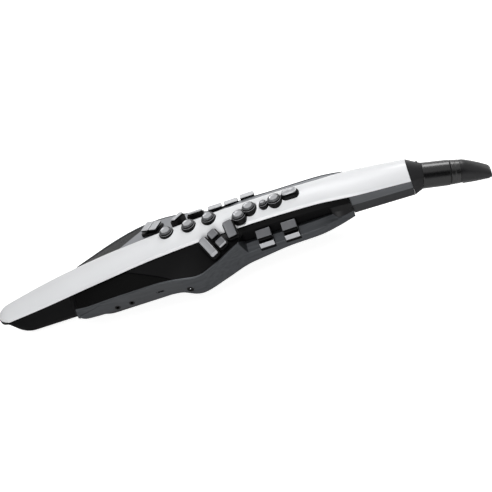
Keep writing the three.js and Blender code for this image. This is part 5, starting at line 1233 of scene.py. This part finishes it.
# The black seat laid in each key's groove is painted shade.
for name, (s, across, form) in FINGER_KEYS.items():
    place = (s, across, cover_top(s, across))
    key, inner, groove, disc = form["key"], form["rim"], form["groove"], form["disc"]
    outline = rounded([
        (0, STEM_LOW), (STEM, STEM_LOW), (STEM, KEY_LOW), (key, KEY_LOW), (key, LEDGE_UP - EDGE),
        (key - EDGE, LEDGE_UP), (inner, LEDGE_UP), (inner - 0.1, LEDGE_UP + 0.5), (groove, KEY_TOP - 0.2),
        (groove, KEY_TOP - 1.2), (0, KEY_TOP - 1.2),
    ], 0.08, 2)
    side = faces_within(outline, (0, 9), (-9, LEDGE_UP - EDGE))
    ledge = faces_within(outline, (inner + 0.05, key - EDGE), (LEDGE_UP - 0.1, LEDGE_UP + 0.1))
    black = np.concatenate([side, ledge])
    turned_piece(
        f"{name}_rim", outline, place, name, rim_grey, name, sharp=28, dark=black, under=ring_black,
    )
    t = np.linspace(1, 0, 12)
    bowl = np.column_stack([(disc - DISC_EDGE) * t, KEY_TOP - KEY_DISH * (1 - t**4)])
    edge = rounded([
        (0, KEY_TOP - DISC_LOW), (disc, KEY_TOP - DISC_LOW), (disc, KEY_TOP), (disc - DISC_EDGE, KEY_TOP),
    ], 0.15)
    turned_piece(f"{name}_disc", np.vstack([edge, bowl[1:]]), place, name, disc_grey, sharp=30)
    seat = rounded(rod(groove + SEAT_LAP, KEY_TOP - SEAT_LOW, KEY_TOP - SEAT_TOP), 0.05)
    turned_piece(f"{name}_groove", seat, place, name, stem_black)
plate_sides = np.arange(3 * 4 * (QUARTER_STEPS + 1))
rings = plate_rings(FRONT_LENGTH, FRONT_WIDTH, FRONT_CORNER, dished(KEY_LOW, KEY_TOP, 1.2, 0.5)) + front_key
lofted("front_key_cap", rings, "front_key", disc_grey, "front_key", dark=plate_sides, under=ring_black)
stem = rounded(rod(STEM, STEM_LOW, KEY_LOW + 1), 0.2)
turned_piece("front_key_stem", stem, front_key, "front_key", stem_black)


# Plates of the little-finger keys and the two keys beyond the cover: grey tops with rounded edges
# over black sides, on tables that slope away from the cover. Each stands on a black base. The
# plates on the right are painted a lighter grey than those on the left, a painted highlight of the
# light on the far side, and the two long ones on the left have a slanting end painted bright as a
# painted highlight.
PLATE_THICK, PLATE_TRAVEL, PLATE_CORNER, PLATE_BEVEL, PLATE_DISH = 2.8, 1.6, 1.4, 0.7, 0.2
LONE_KEYS, LONE_EXTRA, LONE_BEVEL, LONE_LIP = ("trill_key", "cross_key"), 1.5, 1.3, 1.2
BASE_MARGIN, BASE_CORNER, BASE_CLEAR, BASE_LOW = 1.6, 3.0, 0.5, -8
STEM_CLEAR, STEM_SINK, STEM_UP = 3.2, 0.2, 1.0
PINKY_ANGLE, PINKY_SHIFT, PINKY_DOWN = math.radians(69), 5.2, 16.7
PAD_LENGTH, PAD_WIDTH, PAD_PLACE = 39.3, 9.2, (3.8, -6.0, 0)
PAD_LEVELS = [(0, BASE_LOW), (0, 2.0), (0.1, 2.3), (0.4, 2.4)]
# The slanting ends cut off here take the lighter grey: painted highlight.
PAINTED_HIGHLIGHT_ENDS, BRIGHT_FACING = {"low_b_key": 1.7, "low_b_flat_key": 3.2}, (0.62, 0, 0.78)
plate_grey = moulded("plate_grey", (98, 99, 102), (110, 111, 114), 0.36, grain=0.000012, metallic=0.2)
middle_plate = moulded(
    "middle_plate_grey", (140, 141, 144), (152, 153, 156), 0.34, grain=0.000012, metallic=0.2,
)
# Painted highlight: this lighter grey stands in for light on the far-side plates, the palm keys' feet and the
# slanting ends.
painted_sheen_plate = moulded(
    "painted_sheen_plate_grey", (176, 177, 180), (188, 189, 192), 0.32, grain=0.00001, coat=0.25, metallic=0.2,
)


def table(s, side, tilt):
    """Places points of a table, given along, across and up from the cover's edge, in the frame."""
    turn = math.radians(-side * tilt)
    c, v = math.cos(turn), math.sin(turn)
    origin = (s, side * float(cover_half(np.array(s))), float(edge_height(np.array(s))))
    return lambda points: np.asarray(points, float) @ np.array([[1, 0, 0], [0, c, v], [0, -v, c]]) + origin


def spun(seated, degrees, along, down):
    """Places points of a plate: turned about the table's upright, moved to their place on it."""
    c, v = math.cos(math.radians(degrees)), math.sin(math.radians(degrees))
    turned = np.array([[c, v, 0], [-v, c, 0], [0, 0, 1]])
    return lambda points: seated(np.asarray(points, float) @ turned + (along, down, 0))


LEFT, RIGHT = table(290, -1, 27), table(210.3, 1, 11)
TRILL, CROSS = table(245, 1, 19), table(267.5, 1, 27)
pinky_along, pinky_down = PINKY_SHIFT * math.sin(PINKY_ANGLE), PINKY_SHIFT * math.cos(PINKY_ANGLE)
# Each row: table, side, lift, length, width, place along and down it, turn in degrees, finish.
TABLE_KEYS = {
    "g_sharp_key": (LEFT, -1, 6.8, 20.6, 10.6, 18.3, 0.2, -81, plate_grey),
    "c_sharp_key": (LEFT, -1, 6.8, 9.8, 9.8, -2.3, -0.2, -63, plate_grey),
    "low_b_key": (LEFT, -1, 6.8, 9.8, 9.8, 4.7, 12.6, -63, plate_grey),
    "low_b_flat_key": (LEFT, -1, 6.8, 25.8, 8.6, -10.7, 13.4, -63, middle_plate),
    "low_c_key": (RIGHT, 1, 4.8, 19, 9.5, -pinky_along, PINKY_DOWN + pinky_down, 69, painted_sheen_plate),
    "e_flat_key": (RIGHT, 1, 4.8, 19, 9.5, pinky_along, PINKY_DOWN - pinky_down, 69, painted_sheen_plate),
    "trill_key": (TRILL, 1, 6.9, 20, 5.6, 0, 10.1, 63, painted_sheen_plate),
    "cross_key": (CROSS, 1, 6.0, 17.5, 7.6, 0, 7.1, 0, painted_sheen_plate),
}
BASES = {LEFT: "left_table_base", RIGHT: "right_pinky_base", TRILL: "right_trill_base"}
for name, (seated, side, lift, length, width, along, down, degrees, finish) in TABLE_KEYS.items():
    laid = spun(seated, degrees, along, side * down)
    top = lift - PLATE_TRAVEL - BASE_CLEAR
    thick, bevel = PLATE_THICK, PLATE_BEVEL
    levels = [(0, BASE_LOW), (0, top - 0.6), (0.2, top - 0.2), (0.6, top)]
    if name in LONE_KEYS:
        thick, bevel, lip = PLATE_THICK + LONE_EXTRA, LONE_BEVEL, lift + LONE_LIP
        levels = [
            (0, BASE_LOW), (0, lip - 0.4), (0.2, lip), (0.7, lip), (0.9, lip - 0.4), (0.95, top), (1.4, top),
        ]
    trim = None
    if name in PAINTED_HIGHLIGHT_ENDS:
        point, direction, start = laid([
            (length / 2 - PAINTED_HIGHLIGHT_ENDS[name], 0, lift + PLATE_THICK), BRIGHT_FACING, (0, 0, 0),
        ])
        trim = (point, direction - start, painted_sheen_plate)
    cap = laid(plate_rings(length, width, PLATE_CORNER, dished(lift, lift + thick, bevel, PLATE_DISH)))
    lofted(f"{name}_plate", cap, name, finish, name, dark=plate_sides, under=ring_black, trim=trim)
    base = plate_rings(length + 2 * BASE_MARGIN, width + 2 * BASE_MARGIN, BASE_CORNER, levels)
    nodes = [BASES.pop(seated)] if seated in BASES else []
    lofted(f"{name}_base", laid(base), "case", ring_black, *nodes)
    stem = lathe(rod(STEM, top - STEM_SINK, lift + STEM_UP), (along, side * max(down, STEM_CLEAR), 0))
    lofted(f"{name}_stem", seated(stem), name, stem_black)
rings = plate_rings(PAD_LENGTH, PAD_WIDTH, PLATE_CORNER, PAD_LEVELS) + PAD_PLACE
lofted("left_table_pad", LEFT(rings), "case", ring_black)


# Three side keys in a row on a black block sunk into the right wing: tops painted a pale grey as a
# painted highlight of the light on the far side, on black bodies, the last one taller, each on a
# stem.
SIDE_KEYS = {"side_c_key": (290.0, 3.2), "side_b_flat_key": (310.4, 3.2), "high_e_key": (330.8, 4.9)}
SIDE_LENGTH, SIDE_WIDTH, SIDE_MIDDLE, SIDE_CLEAR, STEM_ROOT, STEM_HEAD = 17.0, 7.0, 37.5, 2.0, 2.0, 1.5
# Painted highlight: the pale grey stands in for light on the far-side key tops.
side_painted_sheen_plate = moulded("side_painted_sheen_grey", (206, 207, 209), (216, 217, 219), 0.32, grain=0.00001, coat=0.2)
side_block = eased(block(SIDE_BLOCK, SIDE_ACROSS, (SIDE_LOW, SIDE_TOP)), 0.5)
lofted("side_block", side_block, "case", ring_black, "side_key_block")
low = SIDE_TOP + SIDE_CLEAR
for name, (s, thick) in SIDE_KEYS.items():
    place = (s, SIDE_MIDDLE, 0)
    levels = dished(low, low + thick, PLATE_BEVEL, PLATE_DISH)
    cap = plate_rings(SIDE_LENGTH, SIDE_WIDTH, PLATE_CORNER, levels) + place
    lofted(f"{name}_plate", cap, name, side_painted_sheen_plate, name, dark=plate_sides, under=ring_black)
    turned_piece(f"{name}_stem", rod(STEM, SIDE_TOP - STEM_ROOT, low + STEM_HEAD), place, name, stem_black)


# Palm keys: two bent levers hung in the well, each with an upper plate, a sharp knee, a waist
# painted black as painted shadow, and a lower plate that reaches down over the ledge, painted
# light as a painted reflection of the bright floor.
PALM_LEVER = np.array([
    (26.8, 54.8), (33.8, 48.4), (31.2, 46.6), (31.2, 42.6), (36, 42), (36, 33.4), (33.2, 33.4), (33.2, 39.2),
    (28.4, 40.6), (28.4, 46.6), (23.4, 49.8), (23.4, 51.8),
]) * (-1, 1)
PALM_PLATE = np.array([(-35.2, 42.0), (-36.2, 41.9), (-36.2, 35.4), (-35.2, 35.4)])
PAINTED_SHADOW_TOP, END_BEVEL, END_SHRINK, PLATE_LAP = 47.9, 0.5, 0.03, 0.1
palm_grey = moulded("palm_grey", (100, 101, 104), (112, 113, 116), 0.34, grain=0.00001, metallic=0.3)


def stood(outline, soft):
    """The outline with soft corners, four times over: for both ends and a bevel's width inside."""
    return np.repeat(eased(outline[None], soft), 4, 0)


def ends_of(middle, length):
    """Stations of a bar: its two ends and the places a bevel's width inside them."""
    half = length / 2
    return np.array([-half, END_BEVEL - half, half - END_BEVEL, half]) + middle


lever = stood(PALM_LEVER, 0.6)
lever[[0, 3]] += (lever.mean(1, keepdims=True) - lever)[[0, 3]] * END_SHRINK
# The lever's faces below this height take the black as painted shadow; each foot takes the light grey as
# painted reflection of the floor.
painted_shadow_faces = columns_below(lever[1], PAINTED_SHADOW_TOP, len(lever))
for name, s in zip(["palm_d_key", "palm_f_key"], PALM_KEYS):
    ends = ends_of(s, PALM_LENGTH)
    lofted(f"{name}_lever", on_stations(ends, lever), name, palm_grey, name, dark=painted_shadow_faces, under=ring_black)
    rings = on_stations(ends + (-PLATE_LAP, 0, 0, PLATE_LAP), stood(PALM_PLATE, 0.3))
    lofted(f"{name}_foot", rings, name, painted_sheen_plate)


# Battery cover: a flat lid let into the underside, with four finger grooves at the end where it
# slides out towards the thumb hook. It is moulded in the case's textured black plastic.
GRIPS, GRIP_STEP, GRIP_LONG, GRIP_HALF, GRIP_UP = 4, 5.0, 1.6, 11.0, (-1.0, 1.1)
rings = eased(block(LID, (-LID_HALF, LID_HALF), LID_UP), 0.3)
lid = lofted("battery_lid", rings, "battery_cover", case_black, "battery_cover")
grip_ends = [LID[1] - GRIP_STEP * (number + 1) for number in range(GRIPS)]
cut_away(lid, [block((s, s + GRIP_LONG), (-GRIP_HALF, GRIP_HALF), GRIP_UP) for s in grip_ends])


# Thumb hook: a moulded foot that slides in a slot in the channel's ceiling, with an arm that
# bends round to the right. Behind it a steel ring for the neck strap hangs from a small plate.
HOOK_AT, HOOK_WIDTH, BEND_CENTRE, BEND_OUTER, BEND_INNER = 272.0, 16.0, (1.8, 8.7), 7.8, 4.6
LOOP_AT, LOOP_RADIUS, WIRE_RADIUS = 291.5, 5.2, 1.1
hook_black = moulded("hook_black", (24, 24, 26), (30, 30, 32), 0.38, grain=0.00003)
hook_foot = eased(block(HOOK_FOOT, (-HOOK_HALF, HOOK_HALF), HOOK_UP), 0.3)
lofted("hook_foot", hook_foot, "thumb_hook", hook_black, "thumb_hook")
turn = math.pi * (1 + np.linspace(0, 1, 12) / 2)
circle = np.column_stack([np.cos(turn), np.sin(turn)])
outer, inner = [np.array(BEND_CENTRE) + radius * circle for radius in (BEND_OUTER, BEND_INNER)]
arm = np.vstack([(-6, 16.2), outer, (12, 0.9), (12, 4.1), inner[::-1], (-2.8, 16.2)])
rings = on_stations(ends_of(HOOK_AT, HOOK_WIDTH), stood(arm, 0.5))
lofted("hook_arm", rings, "thumb_hook", hook_black)
strap_plate = eased(block(STRAP_PLATE, (-STRAP_HALF, STRAP_HALF), STRAP_UP), 0.3)
lofted("strap_plate", strap_plate, "case", steel, "strap_ring")
turn = np.linspace(0, 2 * math.pi, 20)
wire = np.column_stack([LOOP_RADIUS + WIRE_RADIUS * np.cos(turn), WIRE_RADIUS * np.sin(turn)])
turned_piece("strap_loop", wire, (LOOP_AT, 0, CEILING - LOOP_RADIUS), "case", steel, lay=along_x)


# Thumb rest with an octave key on each side of it, the power button and the volume dial: all
# follow the underside of the case, a little below it. The rest is rubber, the dial is knurled.
REST_AT, REST = 357.0, [(0, 0), (8.5, 0), (8.5, 2), (6.5, 2), (4, 1.5), (0, 1.3)]
# Each row: name, place, length, half width, thickness, clearance under the case.
BACK_KEYS = [
    ("octave_down_key", 341.6, 11, 8, 2.6, 2.0), ("octave_up_key", 372.4, 11, 8, 2.6, 2.0),
    ("power_button", 431, 9, 3, 2, 1.4),
]
BACK_CORNER, BACK_BEVEL = 2.8, 0.6
DIAL_AT, DIAL_HALF, DIAL_RADIUS, DIAL_DEEP, DIAL_STEM = 413.0, 6.0, 5.65, 4.0, (2.0, 8.5)
NOTCHES, NOTCH_DEEP, NOTCH_POINTS = 28, 0.35, 8
DIAL_LEVELS = [(-1.2, 0), (-0.5, 0), (0, 0.4), (0, 3.6), (-0.4, DIAL_DEEP), (-1.2, DIAL_DEEP)]
rubber = moulded("rest_rubber", (28, 28, 29), (36, 36, 37), 0.7, grain=0.00005)


def below_case(rings, s, clear):
    """Rings of a plate given along, across and down, hung under the case at that clearance."""
    x, y, down = np.moveaxis(rings, -1, 0)
    return np.stack([s + x, y, keel_height(s + x) - clear - down], -1)


turned_piece(
    "thumb_rest_pad", rounded(REST, 0.5), (REST_AT, GAP), "case", rubber, "thumb_rest", lay=below_case,
)
for name, s, length, half, thick, clear in BACK_KEYS:
    cap = plate_rings(length, 2 * half, BACK_CORNER, dished(0, thick, BACK_BEVEL, PLATE_DISH))
    lofted(f"{name}_cap", below_case(cap, s, clear), name, plate_grey, name)
    middle = float(keel_height(np.array(s)))
    stem = rod(STEM, middle - clear - thick / 2, middle + clear)
    turned_piece(f"{name}_stem", stem, (s, 0, 0), name, stem_black)
dial_low = float(keel_height(np.array(DIAL_AT - DIAL_HALF))) - GAP - DIAL_DEEP
turn = np.linspace(0, 2 * math.pi, NOTCH_POINTS * NOTCHES, endpoint=False)
knurl = DIAL_RADIUS + NOTCH_DEEP * np.cos(turn * NOTCHES / 2)
rings = np.array([
    np.column_stack([(knurl + inset) * np.cos(turn), (knurl + inset) * np.sin(turn), np.full_like(turn, up)])
    for inset, up in DIAL_LEVELS
])
rings += (DIAL_AT, 0, dial_low)
lofted("volume_dial_wheel", rings, "volume_dial", hook_black, "volume_dial")
stem = rod(STEM, *[dial_low + up for up in DIAL_STEM])
turned_piece("volume_dial_stem", stem, (DIAL_AT, 0, 0), "volume_dial", stem_black)


# Thumb lever: a round hub in a pocket of the case with a flat tab that stands out below it, for
# bending the pitch either way. Both are moulded in one, in the grey of the keys.
TAB_THICK, TAB_WIDTH, TAB_CORNER, TAB_LEVELS = 3, 12, 0.7, [(0, 0), (0, 7.2), (0.3, 7.7), (0.8, 8)]
place = (LEVER_AT, 0, lever_height)
hub = rounded(rod(HUB_RADIUS, -HUB_HALF, HUB_HALF), 0.5)
turned_piece("thumb_lever_hub", hub, place, "thumb_lever", plate_grey, "thumb_lever", lay=along_y)
tab = plate_rings(TAB_THICK, TAB_WIDTH, TAB_CORNER, TAB_LEVELS) * (1, 1, -1) + place
lofted("thumb_lever_tab", tab, "thumb_lever", plate_grey)
